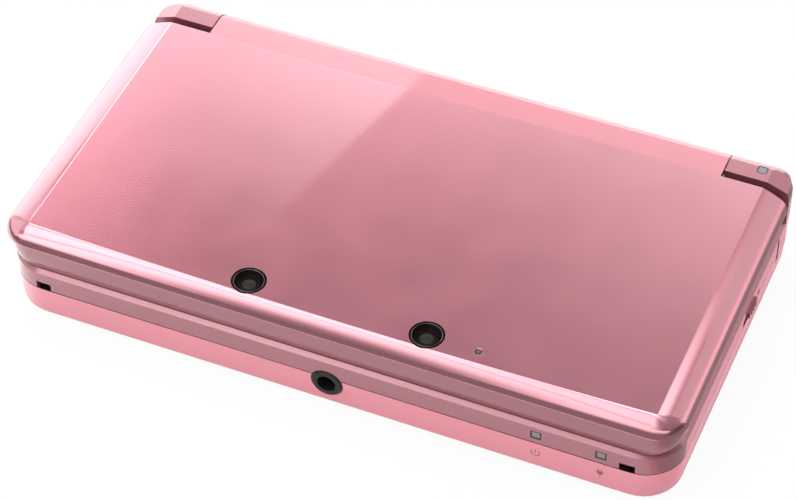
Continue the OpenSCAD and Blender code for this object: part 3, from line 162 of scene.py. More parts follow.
def pearl_paint(name, deep, light, metallic, roughness=0.36, coat_ior=1.8):
    """Metallic lacquer: mica flakes and faint clouds under a clear coat with slight orange peel."""
    material, g = new_material(name)
    place = g.place_mm()
    flakes = g.noise(place, 0.3, 1.0)
    cloud = g.noise(place, 11.0, 2.0)
    share = 0.5 + (flakes - 0.5) * 0.25 + (cloud - 0.5) * 0.3
    g.surface(Base_Color=g.blend(share, deep, light), Metallic=metallic,
              Roughness=roughness + (cloud - 0.5) * 0.06,
              Normal=g.bump(g.noise(place, 1.6, 2.0), 0.05, 0.02),
              Coat_Weight=1.0, Coat_Roughness=0.03, Coat_IOR=coat_ior)
    return material


def moulded_plastic(name, colour, roughness, depth_mm=0.01, spread=0.08, coat=0.0):
    """Injection-moulded plastic with a fine spark-eroded grain."""
    material, g = new_material(name)
    place = g.place_mm()
    grain = g.noise(place, 0.3, 3.0, 0.6)
    cloud = g.noise(place, 14.0, 2.0)
    dark, pale = shade(colour, 1 - spread), shade(colour, 1 + spread)
    g.surface(Base_Color=g.blend(cloud * 0.6 + grain * 0.4, dark, pale),
              Roughness=roughness + (grain - 0.5) * 0.12,
              Normal=g.bump(grain, 0.35, depth_mm),
              Coat_Weight=coat, Coat_Roughness=0.06)
    return material


def black_gloss(name, colour=(0.006, 0.006, 0.007), roughness=0.08, coat=1.0, shine=0.5):
    material, g = new_material(name)
    place = g.place_mm()
    smear = g.noise(place, 4.0, 3.0)
    g.surface(Base_Color=g.blend(smear, shade(colour, 0.7), shade(colour, 1.4)),
              Roughness=roughness + smear * 0.06, Specular_IOR_Level=shine,
              Coat_Weight=coat, Coat_Roughness=0.02)
    return material


def moulded_rubber(name, colour):
    material, g = new_material(name)
    place = g.place_mm()
    grain = g.noise(place, 0.18, 3.0, 0.7)
    g.surface(Base_Color=g.blend(grain, shade(colour, 0.6), shade(colour, 1.7)),
              Roughness=0.78 + (grain - 0.5) * 0.2, Normal=g.bump(grain, 0.5, 0.02))
    return material


def brushed_metal(name, colour, roughness=0.3):
    """Metal with fine brush lines along Y."""
    material, g = new_material(name)
    place = g.place_mm()
    stretched = g.add("ShaderNodeMapping", None, {"Vector": place, "Scale": (1.0, 0.04, 1.0)})
    lines = g.noise(stretched, 0.2, 3.0, 0.7)
    g.surface(Base_Color=g.blend(lines, shade(colour, 0.8), shade(colour, 1.12)), Metallic=1.0,
              Roughness=roughness + (lines - 0.5) * 0.15, Normal=g.bump(lines, 0.2, 0.01))
    return material


def light_pipe(name, colour):
    """Frosted lens of a light that is off."""
    material, g = new_material(name)
    place = g.place_mm()
    frost = g.noise(place, 0.15, 2.0)
    g.surface(Base_Color=g.blend(frost, shade(colour, 0.85), shade(colour, 1.1)),
              Roughness=0.32 + frost * 0.1, Transmission_Weight=0.15, Coat_Weight=0.6,
              Coat_Roughness=0.1, Normal=g.bump(frost, 0.2, 0.01))
    return material


def screen_glass(name, half_width, half_depth, middle_y, picture, border):
    """Black-bordered glass over an unlit picture area."""
    material, g = new_material(name)
    place = g.place_mm()
    x, y, _ = g.split(place)
    inside = (abs(x) < half_width) * (abs(y - middle_y) < half_depth)
    dots = g.noise(place, 0.2, 1.0)
    g.surface(Base_Color=g.blend(inside * (0.9 + dots * 0.2), border, picture),
              Roughness=0.07 + inside * 0.05, Coat_Weight=1.0, Coat_Roughness=0.02)
    return material


def circuit_board(name):
    material, g = new_material(name)
    place = g.place_mm()
    tracks = g.add("ShaderNodeTexBrick", {"offset": 0.5},
                   {"Vector": place, "Scale": 0.4, "Mortar Size": 0.08, "Mortar Smooth": 0.2},
                   output="Fac")
    grain = g.noise(place, 1.2, 3.0)
    share = tracks * 0.8 + grain * 0.2
    g.surface(Base_Color=g.blend(share, (0.006, 0.045, 0.02), (0.02, 0.11, 0.05)),
              Roughness=0.38 + grain * 0.1, Normal=g.bump(tracks, 0.3, 0.03), Coat_Weight=0.5,
              Coat_Roughness=0.2)
    return material


def battery_wrap(name):
    material, g = new_material(name)
    place = g.place_mm()
    wrinkle = g.noise(place, 3.0, 4.0, 0.6)
    g.surface(Base_Color=g.blend(wrinkle, (0.022, 0.022, 0.026), (0.05, 0.05, 0.058)),
              Roughness=0.42 + wrinkle * 0.15, Normal=g.bump(wrinkle, 0.3, 0.05))
    return material


FINISH = {
    "lid_pink": pearl_paint("pearl_lid", (0.46, 0.167, 0.204), (0.56, 0.213, 0.257),
                            metallic=0.92, roughness=0.24),
    "barrel_pink": pearl_paint("pearl_barrel", (0.49, 0.168, 0.20), (0.58, 0.21, 0.245),
                               metallic=0.6, coat_ior=1.6),
    "shell_mauve": pearl_paint("mauve_lid_side", (0.265, 0.078, 0.10), (0.34, 0.106, 0.13),
                               metallic=0.4, coat_ior=1.4),
    "frame_pink": pearl_paint("mauve_frame", (0.30, 0.09, 0.115), (0.37, 0.115, 0.143),
                              metallic=0.5, coat_ior=1.6),
    "cover_pink": moulded_plastic("pink_cover", (0.735, 0.245, 0.30), roughness=0.3,
                                  depth_mm=0.002, spread=0.02, coat=0.5),
    "grey_keys": moulded_plastic("grey_keys", (0.42, 0.42, 0.44), roughness=0.35, coat=0.3),
    "black_keys": moulded_plastic("black_keys", (0.012, 0.012, 0.013), roughness=0.28, coat=0.6),
    "black_plastic": moulded_plastic("black_plastic", (0.02, 0.02, 0.022), roughness=0.5),
    "black_gloss": black_gloss("black_gloss"),
    "camera_bezel": black_gloss("camera_bezel", (0.005, 0.003, 0.003), roughness=0.35,
                                coat=0.0, shine=0.03),
    "jack_black": black_gloss("jack_black", (0.011, 0.009, 0.009), roughness=0.25,
                              coat=0.1, shine=0.2),
    # painted shade: near-black on the cover's parting face, standing for the shadow in the seam's
    # slit
    "painted_seam_shade": moulded_plastic("painted_seam_shade", (0.012, 0.006, 0.007), roughness=0.8),
    "camera_lip": brushed_metal("camera_lip", (0.30, 0.25, 0.25)),
    "camera_lens": black_gloss("camera_lens", (0.016, 0.016, 0.011), roughness=0.35,
                               coat=0.03, shine=0.1),
    "ink": moulded_plastic("printed_ink", (0.30, 0.085, 0.11), roughness=0.5, depth_mm=0.002),
    "rubber": moulded_rubber("moulded_rubber", (0.02, 0.02, 0.022)),
    "recording_lens": light_pipe("recording_lens", (0.10, 0.075, 0.075)),
    "clear_light": light_pipe("light_lens", (0.22, 0.20, 0.20)),
    "steel": brushed_metal("bright_steel", (0.62, 0.62, 0.64)),
    "plated_brass": brushed_metal("gilt_contact", (0.83, 0.60, 0.24), roughness=0.22),
    "circuit_board": circuit_board("circuit_board"),
    "battery_wrap": battery_wrap("battery_wrap"),
}

SLOT_OF = {row["node"]: row["material_slot"] for row in frame["record"]["subparts"]}
BODY_OF = {node: body for body, nodes in frame["record"]["behaviour"]["bodies"].items()
           for node in nodes}


def dress(piece, material):
    piece.data.materials.clear()
    piece.data.materials.append(material)


# ---------------------------------------------------------------- making pieces

def link_mesh(name, mesh):
    piece = bpy.data.objects.new(name, mesh)
    bpy.context.scene.collection.objects.link(piece)
    return piece


def from_bmesh(name, bm):
    mesh = bpy.data.meshes.new(name)
    bm.to_mesh(mesh)
    bm.free()
    return link_mesh(name, mesh)


def finish_modifiers(piece):
    """Turns the evaluated piece into its own plain mesh and removes the modifiers."""
    view = bpy.context.evaluated_depsgraph_get()
    mesh = bpy.data.meshes.new_from_object(piece.evaluated_get(view), depsgraph=view)
    mesh.name = piece.name
    piece.modifiers.clear()
    piece.data = mesh
    return piece


def soften(piece, bevel_mm, smooth_angle=30.0, flat=True):
    """Small rounded edges and smooth curved faces, flat faces left flat."""
    piece.data.shade_smooth()
    if bevel_mm:
        bevel = piece.modifiers.new("edges", "BEVEL")
        bevel.width = bevel_mm * MM
        bevel.segments = 2
        bevel.limit_method = "ANGLE"
        bevel.angle_limit = math.radians(SHARP_EDGE_ANGLE)
        bevel.use_clamp_overlap = True
        bevel.harden_normals = False
    piece.data.set_sharp_from_angle(angle=math.radians(smooth_angle))
    if flat:
        weight = piece.modifiers.new("flat", "WEIGHTED_NORMAL")
        weight.keep_sharp = True
        weight.weight = 90
    return finish_modifiers(piece)


def round_edges(piece, width_mm, chosen):
    """Rounds the edges whose two ends, in millimetres, are chosen."""
    bm = bmesh.new()
    bm.from_mesh(piece.data)
    edges = [e for e in bm.edges if all(chosen(v.co / MM) for v in e.verts)]
    bmesh.ops.bevel(bm, geom=edges, offset=width_mm * MM, segments=3, profile=0.5,
                    affect="EDGES", clamp_overlap=True)
    bm.to_mesh(piece.data)
    bm.free()


def take_over(piece, *nodes):
    """The piece stands for CAD nodes of one body."""
    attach(piece, BODY_OF[nodes[0]])
    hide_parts(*nodes)
    return piece


def add_on(piece, node):
    """The piece is fixed to a CAD node."""
    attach(piece, BODY_OF[node])


def refined(node, smooth_angle=30.0, flat=True, seam=None):
    """A merged copy of a CAD node with softened edges; seam picks those that are rounded more."""
    bm = bmesh.new()
    bm.from_mesh(frame["nodes"][node].data)
    bmesh.ops.remove_doubles(bm, verts=bm.verts, dist=0.002 * MM)
    bmesh.ops.dissolve_limit(bm, angle_limit=math.radians(0.4), verts=bm.verts, edges=bm.edges)
    piece = from_bmesh(node + "_finished", bm)
    if "custom_normal" in piece.data.attributes:
        piece.data.attributes.remove(piece.data.attributes["custom_normal"])
    if seam:
        round_edges(piece, SEAM_ROUND, seam)
    soften(piece, EDGE_ROUND, smooth_angle, flat)
    dress(piece, FINISH[SLOT_OF[node]])
    return take_over(piece, node)


def paint_seam_shade(piece):
    """Painted shade: near-black on the cover's parting face, so the seam's slit looks shadowed."""
    piece.data.materials.append(FINISH["painted_seam_shade"])
    for face in piece.data.polygons:
        if face.normal.z > 0.85 and abs(face.center.z / MM - SEAM_Z) < 0.12:
            face.material_index = 1


def corner(cx, cy, rx, ry, start, steps):
    """Points of a quarter of an ellipse, from start degrees on."""
    turn = [math.radians(start + 90.0 * i / steps) for i in range(steps + 1)]
    return [(cx + rx * math.cos(a), cy + ry * math.sin(a)) for a in turn]


def outline(hx, y0, y1, rf, rbx, rby, steps=18):
    """Rounded outline, anticlockwise from the front right corner."""
    return (corner(hx - rf, y0 + rf, rf, rf, -90, steps)
            + corner(hx - rbx, y1 - rby, rbx, rby, 0, steps)
            + corner(-hx + rbx, y1 - rby, rbx, rby, 90, steps)
            + corner(-hx + rf, y0 + rf, rf, rf, 180, steps))


def lofted(name, rings):
    """Closed skin over a stack of rings, each an anticlockwise list of (x, y, z) in millimetres."""
    bm = bmesh.new()
    rows = [[bm.verts.new(Vector(p) * MM) for p in ring] for ring in rings]
    count = len(rows[0])
    for low, high in zip(rows, rows[1:]):
        for i in range(count):
            j = (i + 1) % count
            bm.faces.new((low[i], low[j], high[j], high[i]))
    bm.faces.new(list(reversed(rows[0])))
    bm.faces.new(rows[-1])
    bmesh.ops.recalc_face_normals(bm, faces=bm.faces)
    return from_bmesh(name, bm)


def lathed(name, profile, centres, steps=96):
    """Closed profile of (radius, height) turned about the vertical through each (x, y) centre."""
    bm = bmesh.new()
    for cx, cy in centres:
        rings = []
        for i in range(steps):
            a = 2 * math.pi * i / steps
            rings.append([bm.verts.new(Vector((cx + r * math.cos(a), cy + r * math.sin(a), z)) * MM)
                          for r, z in profile])
        for i in range(steps):
            near, far = rings[i], rings[(i + 1) % steps]
            for k in range(len(profile)):
                j = (k + 1) % len(profile)
                bm.faces.new((near[k], far[k], far[j], near[j]))
    bmesh.ops.remove_doubles(bm, verts=bm.verts, dist=0.001 * MM)
    bmesh.ops.recalc_face_normals(bm, faces=bm.faces)
    return soften(from_bmesh(name, bm), 0.0, smooth_angle=28.0)


def cylinder_tool(name, centre, radius, depth, axis="Z", sides=96):
    bm = bmesh.new()
    turn = {"Z": Matrix.Identity(4), "X": Matrix.Rotation(math.radians(90), 4, "Y")}[axis]
    bmesh.ops.create_cone(bm, cap_ends=True, segments=sides, radius1=radius * MM,
                          radius2=radius * MM, depth=depth * MM,
                          matrix=Matrix.Translation(Vector(centre) * MM) @ turn)
    return from_bmesh(name, bm)


def cut(piece, *tools):
    for tool in tools:
        modifier = piece.modifiers.new("cut", "BOOLEAN")
        modifier.operation = "DIFFERENCE"
        modifier.solver = "EXACT"
        modifier.object = tool
    finish_modifiers(piece)
    for tool in tools:
        bpy.data.objects.remove(tool)


# ---------------------------------------------------------------- the lid's cover

# sizes in millimetres
LID_HX, LID_Y0, LID_Y1, LID_TOP = 67.0, -36.9, 27.4, 21.0
LID_RF, LID_RBX, LID_RBY = 6.0, 5.2, 1.3
SEAM_Z = 7.575  # middle of the slit round the base
SIDE_RUN, FRONT_RUN, FRONT_BOW, EDGE_R, CROWN = 5.4, 3.5, 1.1, 2.2, 0.4
COVER_T, COVER_H = 1.1, 3.1
HINGE_Y, HINGE_Z, RELIEF_R = 31.5, 15.5, 6.351
RELIEF_X = 63.2  # middle of the cutter that clears an ear
CAMERA_X, CAMERA_Y, CAMERA_R = 17.5, -31.3, 3.25
LIGHT_X, LIGHT_Y, LIGHT_R = 27.5, -31.55, 0.65
POWER_X, CHARGE_X, WINDOW_Y, WINDOW_Z = 40.7, 53.0, -36.76, 9.75
EAR_WINDOW = (60.03, 31.9, 20.955)
MARK_Z, PLUG_Z = 4.85, 5.05
LID_SCREW_X, LID_SCREW_YS, LID_SCREW_Z = 54.4, (-32.7, 24.0), 13.4
COVER_SCREW_X, COVER_SCREW_Y, COVER_SCREW_Z = 24, 12.0, 1.2


def edge_section(run, side_steps=12, slope_steps=8):
    """Section of the cover's edge from the side up to the flat top: (inset, height)."""
    def reach(a):
        slope = (math.tan(a) + math.tan(CROWN * a)) / 2
        return EDGE_R * math.cos(a) + (run - EDGE_R * (1 - math.sin(a))) * slope

    # the slope's angle, found by halving, at which the section climbs the cover's full height
    low, high = 0.08, 1.05
    for _ in range(40):
        a = (low + high) / 2
        low, high = (a, high) if reach(a) < COVER_H else (low, a)
    base = LID_TOP - COVER_H
    section = [(0.09, base), (0.02, base + 0.05)]
    for i in range(side_steps + 1):
        t = 0.05 + (math.pi / 2 - a - 0.05) * i / side_steps
        section.append((EDGE_R * (1 - math.cos(t)), base + EDGE_R * math.sin(t)))
    start, level = section[-1]
    length = run - start
    for i in range(1, slope_steps):
        u = i / slope_steps
        rise = math.tan(a) * u + (math.tan(CROWN * a) - math.tan(a)) * u * u / 2
        section.append((start + length * u, level + length * rise))
    for back, drop in ((0.08, 0.08 * math.tan(CROWN * a) + 0.003), (-0.02, 0.004), (-0.14, 0.0)):
        section.append((run - back, LID_TOP - drop))
    return section


def lid_ring(side, end, middle, steps=18, front_steps=24):
    """One ring of the cover: (x, y, z) points anticlockwise from the front right corner."""
    def mix(p, q, t):
        return p + (q - p) * t

    r = max(0.4, LID_RF - side[0] * 1.05)
    rx, ry = max(0.4, LID_RBX - side[0]), max(0.1, LID_RBY - side[0] * 0.22)
    x, y = LID_HX - side[0] - r, LID_Y0 + end[0] + r
    ring = []
    for k in range(steps + 1):
        a = math.pi / 2 * k / steps
        ring.append((x + r * math.sin(a), y - r * math.cos(a), mix(end[1], side[1], k / steps)))
    back = (corner(LID_HX - side[0] - rx, LID_Y1 - ry, rx, ry, 0, steps)
            + corner(-LID_HX + side[0] + rx, LID_Y1 - ry, rx, ry, 90, steps))
    ring += [(u, v, side[1]) for u, v in back]
    for k in range(steps + 1):
        a = math.pi / 2 * k / steps
        ring.append((-x - r * math.cos(a), y - r * math.sin(a), mix(side[1], end[1], k / steps)))
    for k in range(1, front_steps):
        u = 2 * k / front_steps - 1
        bow = 1 - u * u
        ring.append((u * x, LID_Y0 + mix(end[0], middle[0], bow), mix(end[1], middle[1], bow)))
    return ring


def make_lid_cover():
    """Outer cover: side, rounded edge, crowned slope with a bowed front, crease and flat top."""
    sections = zip(edge_section(SIDE_RUN), edge_section(FRONT_RUN),
                   edge_section(FRONT_RUN - FRONT_BOW))
    piece = lofted("lid_cover_lacquered", [lid_ring(*trio) for trio in sections])
    t, base, back = COVER_T, LID_TOP - 2.05, LID_Y1 - COVER_T
    room = [(outline(LID_HX - t - a, LID_Y0 + t + a, back - b, r, 4, 1), z) for a, b, r, z in
            ((0, 0, LID_RF - t, LID_TOP - 4), (0, 0, LID_RF - t, base),
             (0.5, 0, LID_RF - t - 0.5, base + 0.35), (SIDE_RUN - t, 0.5, 1.0, LID_TOP - t))]
    tools = [lofted("tool", [[(x, y, z) for x, y in points] for points, z in room])]
    tools += [cylinder_tool("tool", (side * CAMERA_X, CAMERA_Y, LID_TOP), CAMERA_R + 0.05, 8)
              for side in (-1, 1)]
    tools.append(cylinder_tool("tool", (LIGHT_X, LIGHT_Y, LID_TOP), LIGHT_R + 0.03, 8, sides=48))
    tools += [cylinder_tool("tool", (side * RELIEF_X, HINGE_Y, HINGE_Z), RELIEF_R, 20, "X")
              for side in (-1, 1)]
    cut(piece, *tools)
    round_edges(piece, BACK_ROUND, lambda p: p.y > LID_Y1 - 0.02 and p.z > LID_TOP - 0.01)
    for x, y, r in ((-CAMERA_X, CAMERA_Y, CAMERA_R), (CAMERA_X, CAMERA_Y, CAMERA_R),
                    (LIGHT_X, LIGHT_Y, LIGHT_R)):
        round_edges(piece, HOLE_ROUND, lambda p: (p.z > LID_TOP - 0.6 and
                                                  math.hypot(p.x - x, p.y - y) < r + 0.08))
    soften(piece, 0.0, smooth_angle=24.0)
    dress(piece, FINISH["lid_pink"])
    take_over(piece, "lid_outer_cover")


# ---------------------------------------------------------------- cameras, lights and printed marks

def make_cameras():
    """Black bezels with a raised lip and a dished bowl, a domed lens at the bottom of each."""
    top = LID_TOP
    bowl = [(2.62 - 0.92 * t, top - 0.12 - 0.72 * math.sin(t * math.pi / 2))
            for t in (0, .15, .3, .45, .6, .75, .9, 1)]
    profile = ([(CAMERA_R - 0.05, top - 1.15), (CAMERA_R - 0.05, top - 0.13),
                (CAMERA_R - 0.12, top - 0.06), (2.84, top - 0.06), (2.80, top - 0.02),
                (2.72, top - 0.02), (2.66, top - 0.08)]
               + bowl + [(1.36, top - 0.92), (1.34, top - 1.15)])
    centres = [(side * CAMERA_X, CAMERA_Y) for side in (-1, 1)]
    bezels = lathed("camera_bezels", profile, centres)
    dress(bezels, FINISH["camera_bezel"])
    take_over(bezels, "camera_rings")
    lips = lathed("camera_lips", [(2.84, top - 0.1), (2.84, top - 0.02), (2.81, top),
                                  (2.78, top - 0.02), (2.76, top - 0.1)], centres)
    dress(lips, FINISH["camera_lip"])
    add_on(lips, "camera_modules")
    dome = [(0.0, top - 0.84)]
    dome += [(1.3 * k / 8, top - 0.84 - 0.14 * (k / 8) ** 2) for k in range(1, 9)]
    lenses = lathed("camera_lenses", dome + [(1.3, top - 1.12), (0.0, top - 1.12)], centres)
    dress(lenses, FINISH["camera_lens"])
    add_on(lenses, "camera_modules")
    rim = lathed("recording_light_rim", [(0.45, top - 0.05), (0.46, top - 0.015),
                                         (0.60, top - 0.01), (0.63, top - 0.05)],
                 [(LIGHT_X, LIGHT_Y)], steps=48)
    dress(rim, FINISH["camera_bezel"])
    add_on(rim, "recording_light")
    dress(frame["nodes"]["recording_light"], FINISH["recording_lens"])


def make_light_windows():
    """Dark surrounds of the two status lights on the front and of the one on the right ear."""
    bm = bmesh.new()
    x_way, y_way, z_way = Matrix.Identity(3)
    for x in (POWER_X, CHARGE_X):
        ring(bm, (x, WINDOW_Y, WINDOW_Z), x_way, z_way, (1.02, 0.92), (0.80, 0.70), 0.06)
    ring(bm, EAR_WINDOW, x_way, y_way, (0.97, 0.97), (0.78, 0.78), -0.03)
    bmesh.ops.recalc_face_normals(bm, faces=bm.faces)
    piece = from_bmesh("status_light_surrounds", bm)
    dress(piece, FINISH["black_plastic"])
    add_on(piece, "status_lights")


def ring(bm, centre, across, up, outer, inner, depth, steps=5):
    """Rounded rectangular ring: half sizes along two directions, thickness away from its face."""
    into = across.cross(up) * -depth
    loops = []
    for half, radius in ((outer, 0.22), (inner, 0.12)):
        points = []
        for n, (sx, sy) in enumerate(((1, -1), (1, 1), (-1, 1), (-1, -1))):
            points += corner(sx * (half[0] - radius), sy * (half[1] - radius), radius, radius,
                             -90 + 90 * n, steps)
        for shift in (Vector(), into):
            loops.append([bm.verts.new((Vector(centre) + across * u + up * v + shift) * MM)
                          for u, v in points])
    front_out, back_out, front_in, back_in = loops
    for a, b in ((front_out, front_in), (front_in, back_in),
                 (back_in, back_out), (back_out, front_out)):
        for i in range(len(a)):
            j = (i + 1) % len(a)
            bm.faces.new((a[i], a[j], b[j], b[i]))


def arc_band(cx, cz, radius, width, start, stop, steps):
    """Quads of a curved line in the front plane."""
    turn = [math.radians(start + (stop - start) * i / steps) for i in range(steps + 1)]
    edges = [[(cx + r * math.sin(a), cz + r * math.cos(a))
              for r in (radius - width / 2, radius + width / 2)] for a in turn]
    return [(p[0], p[1], q[1], q[0]) for p, q in zip(edges, edges[1:])]


def bar(middle, width, z0, z1, steps=3):
    """Quads of an upright bar in the front plane."""
    x0, x1 = middle - width / 2, middle + width / 2
    cuts = [z0 + (z1 - z0) * i / steps for i in range(steps + 1)]
    return [((x0, a), (x1, a), (x1, b), (x0, b)) for a, b in zip(cuts, cuts[1:])]


def half_disc(cx, z, rx, rz, steps):
    """Quads of the lower half of an ellipse in the front plane."""
    quads = []
    for k in range(steps):
        a, b = (math.radians(-90 + 180 * n / steps) for n in (k, k + 1))
        quads.append(tuple((cx + rx * math.sin(t), z - v * rz * math.cos(t))
                           for v, t in ((0, a), (1, a), (1, b), (0, b))))
    return quads


def make_printed_marks():
    """Power mark and plug mark printed on the front of the bottom cover."""
    power = arc_band(POWER_X, MARK_Z, 0.82, 0.2, 38, 322, 36)
    power += bar(POWER_X, 0.2, MARK_Z, MARK_Z + 1)
    plug = bar(CHARGE_X, 1.3, PLUG_Z, PLUG_Z + 0.3, steps=1)
    plug += half_disc(CHARGE_X, PLUG_Z, 0.6, 0.75, 8)
    for side in (-1, 1):
        plug += bar(CHARGE_X + side * 0.35, 0.2, PLUG_Z + 0.3, PLUG_Z + 0.9)
    plug += bar(CHARGE_X, 0.16, PLUG_Z - 1.3, PLUG_Z - 0.7)
    wall = BVHTree.FromPolygons(*frame_mesh("bottom_cover"))
    bm = bmesh.new()
    for quad in power + plug:
        verts = []
        for x, z in quad:
            hit = wall.ray_cast(Vector((x, -45.0, z)), Vector((0, 1, 0)))[0]
            verts.append(bm.verts.new(Vector((x, hit.y - 0.012, z)) * MM))
        bm.faces.new(verts)
    bmesh.ops.remove_doubles(bm, verts=bm.verts, dist=0.002 * MM)
    bmesh.ops.recalc_face_normals(bm, faces=bm.faces)
    if sum(f.normal.y for f in bm.faces) > 0:
        bmesh.ops.reverse_faces(bm, faces=bm.faces)
    piece = from_bmesh("printed_marks", bm)
    coat = piece.modifiers.new("ink", "SOLIDIFY")
    coat.thickness = 0.01 * MM
    coat.offset = -1.0
    finish_modifiers(piece)
    dress(piece, FINISH["ink"])
    add_on(piece, "bottom_cover")


def frame_mesh(node):
    """Points in millimetres and faces of a CAD node."""
    mesh = frame["nodes"][node].data
    return [v.co / MM for v in mesh.vertices], [tuple(f.vertices) for f in mesh.polygons]


# ---------------------------------------------------------------- screws

def screw_tree():
    """Cross-head screw heads on the points of a mesh; the inputs size them."""
    tree = bpy.data.node_groups.new("cross_head_screws", "GeometryNodeTree")
    for name, kind, default in (("Geometry", "NodeSocketGeometry", None),
                                ("Head radius", "NodeSocketFloat", 1.8 * MM),
                                ("Head height", "NodeSocketFloat", 0.4 * MM),
                                ("Slot width", "NodeSocketFloat", 0.4 * MM),
                                ("Upside down", "NodeSocketBool", True),
                                ("Finish", "NodeSocketMaterial", None)):
        socket = tree.interface.new_socket(name, in_out="INPUT", socket_type=kind)
        if default is not None:
            socket.default_value = default
    tree.interface.new_socket("Geometry", in_out="OUTPUT", socket_type="NodeSocketGeometry")
    g = Graph(tree)
    given = g.add("NodeGroupInput").socket.node
    value = {s.name: Wire(g, s) for s in given.outputs if s.name}
    radius, height = value["Head radius"], value["Head height"]
    head = g.add("GeometryNodeMeshCylinder", {"fill_type": "NGON"},
                 {"Vertices": 48, "Radius": radius, "Depth": height})
    blades = []
    for angle in (0.0, math.pi / 2):
        size = g.add("ShaderNodeCombineXYZ", None,
                     {"X": radius * 1.2, "Y": value["Slot width"], "Z": height * 1.1})
        cube = g.add("GeometryNodeMeshCube", None, {"Size": size})
        lift = g.add("ShaderNodeCombineXYZ", None, {"Z": height * 0.5})
        blades.append(g.add("GeometryNodeTransform", None,
                            {"Geometry": cube, "Translation": lift, "Rotation": (0.0, 0.0, angle)}))
    slotted = g.add("GeometryNodeMeshBoolean", {"operation": "DIFFERENCE", "solver": "EXACT"},
                    {"Mesh 1": head, "Mesh 2": blades})
    flip = g.add("GeometryNodeSwitch", {"input_type": "VECTOR"},
                 {"Switch": value["Upside down"], "False": (0.0, 0.0, 0.0),
                  "True": (math.pi, 0.0, 0.0)})
    placed = g.add("GeometryNodeInstanceOnPoints", None,
                   {"Points": value["Geometry"], "Instance": slotted, "Rotation": flip})
    real = g.add("GeometryNodeRealizeInstances", None, {"Geometry": placed})
    painted = g.add("GeometryNodeSetMaterial", None,
                    {"Geometry": real, "Material": value["Finish"]})
    g.add("NodeGroupOutput", None, {"Geometry": painted})
    return tree


def along_points(name, tree, points_mm, values):
    """Runs a Geometry Nodes tree on loose points and keeps the result as a plain mesh."""
    mesh = bpy.data.meshes.new(name)
    mesh.from_pydata([tuple(c * MM for c in p) for p in points_mm], [], [])
    piece = link_mesh(name, mesh)
    modifier = piece.modifiers.new("made", "NODES")
    modifier.node_group = tree
    for item in tree.interface.items_tree:
        if item.item_type == "SOCKET" and item.in_out == "INPUT" and item.name in values:
            modifier[item.identifier] = values[item.name]
    piece.update_tag()
    bpy.context.view_layer.update()
    finish_modifiers(piece)
    piece.data.set_sharp_from_angle(angle=math.radians(30))
    return piece


def make_screws():
    """Cross-head screw heads in the lid's corners and under the base."""
    tree = screw_tree()
    lid = [(x, y, LID_SCREW_Z) for x in (-LID_SCREW_X, LID_SCREW_X) for y in LID_SCREW_YS]
    piece = along_points("lid_screw_heads", tree, lid,
                         {"Head radius": 1.8 * MM, "Head height": 0.4 * MM,
                          "Finish": FINISH["steel"]})
    add_on(piece, "lid_screws")
    cover = [(x, COVER_SCREW_Y, COVER_SCREW_Z) for x in (-COVER_SCREW_X, COVER_SCREW_X)]
    piece = along_points("cover_screw_heads", tree, cover,
                         {"Head radius": 2.2 * MM, "Head height": 0.8 * MM,
                          "Slot width": 0.5 * MM, "Finish": FINISH["steel"]})
    add_on(piece, "cover_screws")


# ---------------------------------------------------------------- studio and camera

# places in metres
ROOM = 0.12  # light of the room in reflections; the camera sees white
CEILING = 1.0
FLOOR_GLOW = 0.93  # share of the floor that the camera sees as plain white
EYE = Vector((0.14599178, -0.34750736, 0.39329325))
FOCAL_PIXELS, PICTURE_WIDTH = 2829.37, 796.0
STRIP_Y, CREASE_X, CREASE_Z = 0.73, -0.0617, 0.021


def card(name, corners, level, tint=(1.0, 1.0, 1.0), mirror_only=False):
    """A softbox as a glowing card that the camera doesn't see.

    level is its light, or gives it from x, y, z in metres. A mirror_only card shows in
    reflections but adds no diffuse light.
    """
    mesh = bpy.data.meshes.new(name)
    mesh.from_pydata(corners, [], [(0, 1, 2, 3)])
    piece = link_mesh(name, mesh)
    material, g = new_material(name)
    strength = level
    if callable(level):
        strength = level(*g.split(g.add("ShaderNodeTexCoord", output="Object")))
    glow = g.add("ShaderNodeEmission", None, {"Color": (*tint, 1.0), "Strength": strength})
    clear = g.add("ShaderNodeBsdfTransparent")
    eye = g.add("ShaderNodeLightPath", output="Is Camera Ray")
    shown = g.add("ShaderNodeMixShader", None, {0: eye, 1: glow, 2: clear})
    g.add("ShaderNodeOutputMaterial", None, {"Surface": shown})
    dress(piece, material)
    piece.visible_shadow = False
    piece.visible_diffuse = not mirror_only


def lying(x0, x1, y0, y1, z=CEILING):
    """Corners of a level card."""
    return [(x0, y0, z), (x1, y0, z), (x1, y1, z), (x0, y1, z)]


def upright(x0, x1, z0, z1, y):
    """Corners of a card that stands square to the Y axis."""
    return [(x0, y, z0), (x1, y, z0), (x1, y, z1), (x0, y, z1)]


def ramp(value, low, high):
    """0 at low, 1 at high, with soft ends."""
    share = ((value - low) / (high - low)).larger(0.0).smaller(1.0)
    return share * share * (3 - 2 * share)


def make_world():
    world = bpy.data.worlds.new("studio")
    world.use_nodes = True
    bpy.context.scene.world = world
    g = Graph(world.node_tree)
    eye = g.add("ShaderNodeLightPath", output="Is Camera Ray")
    back = g.add("ShaderNodeBackground", None,
                 {"Color": (1, 1, 1, 1), "Strength": ROOM + eye * (1 - ROOM)})
    g.add("ShaderNodeOutputWorld", None, {"Surface": back})


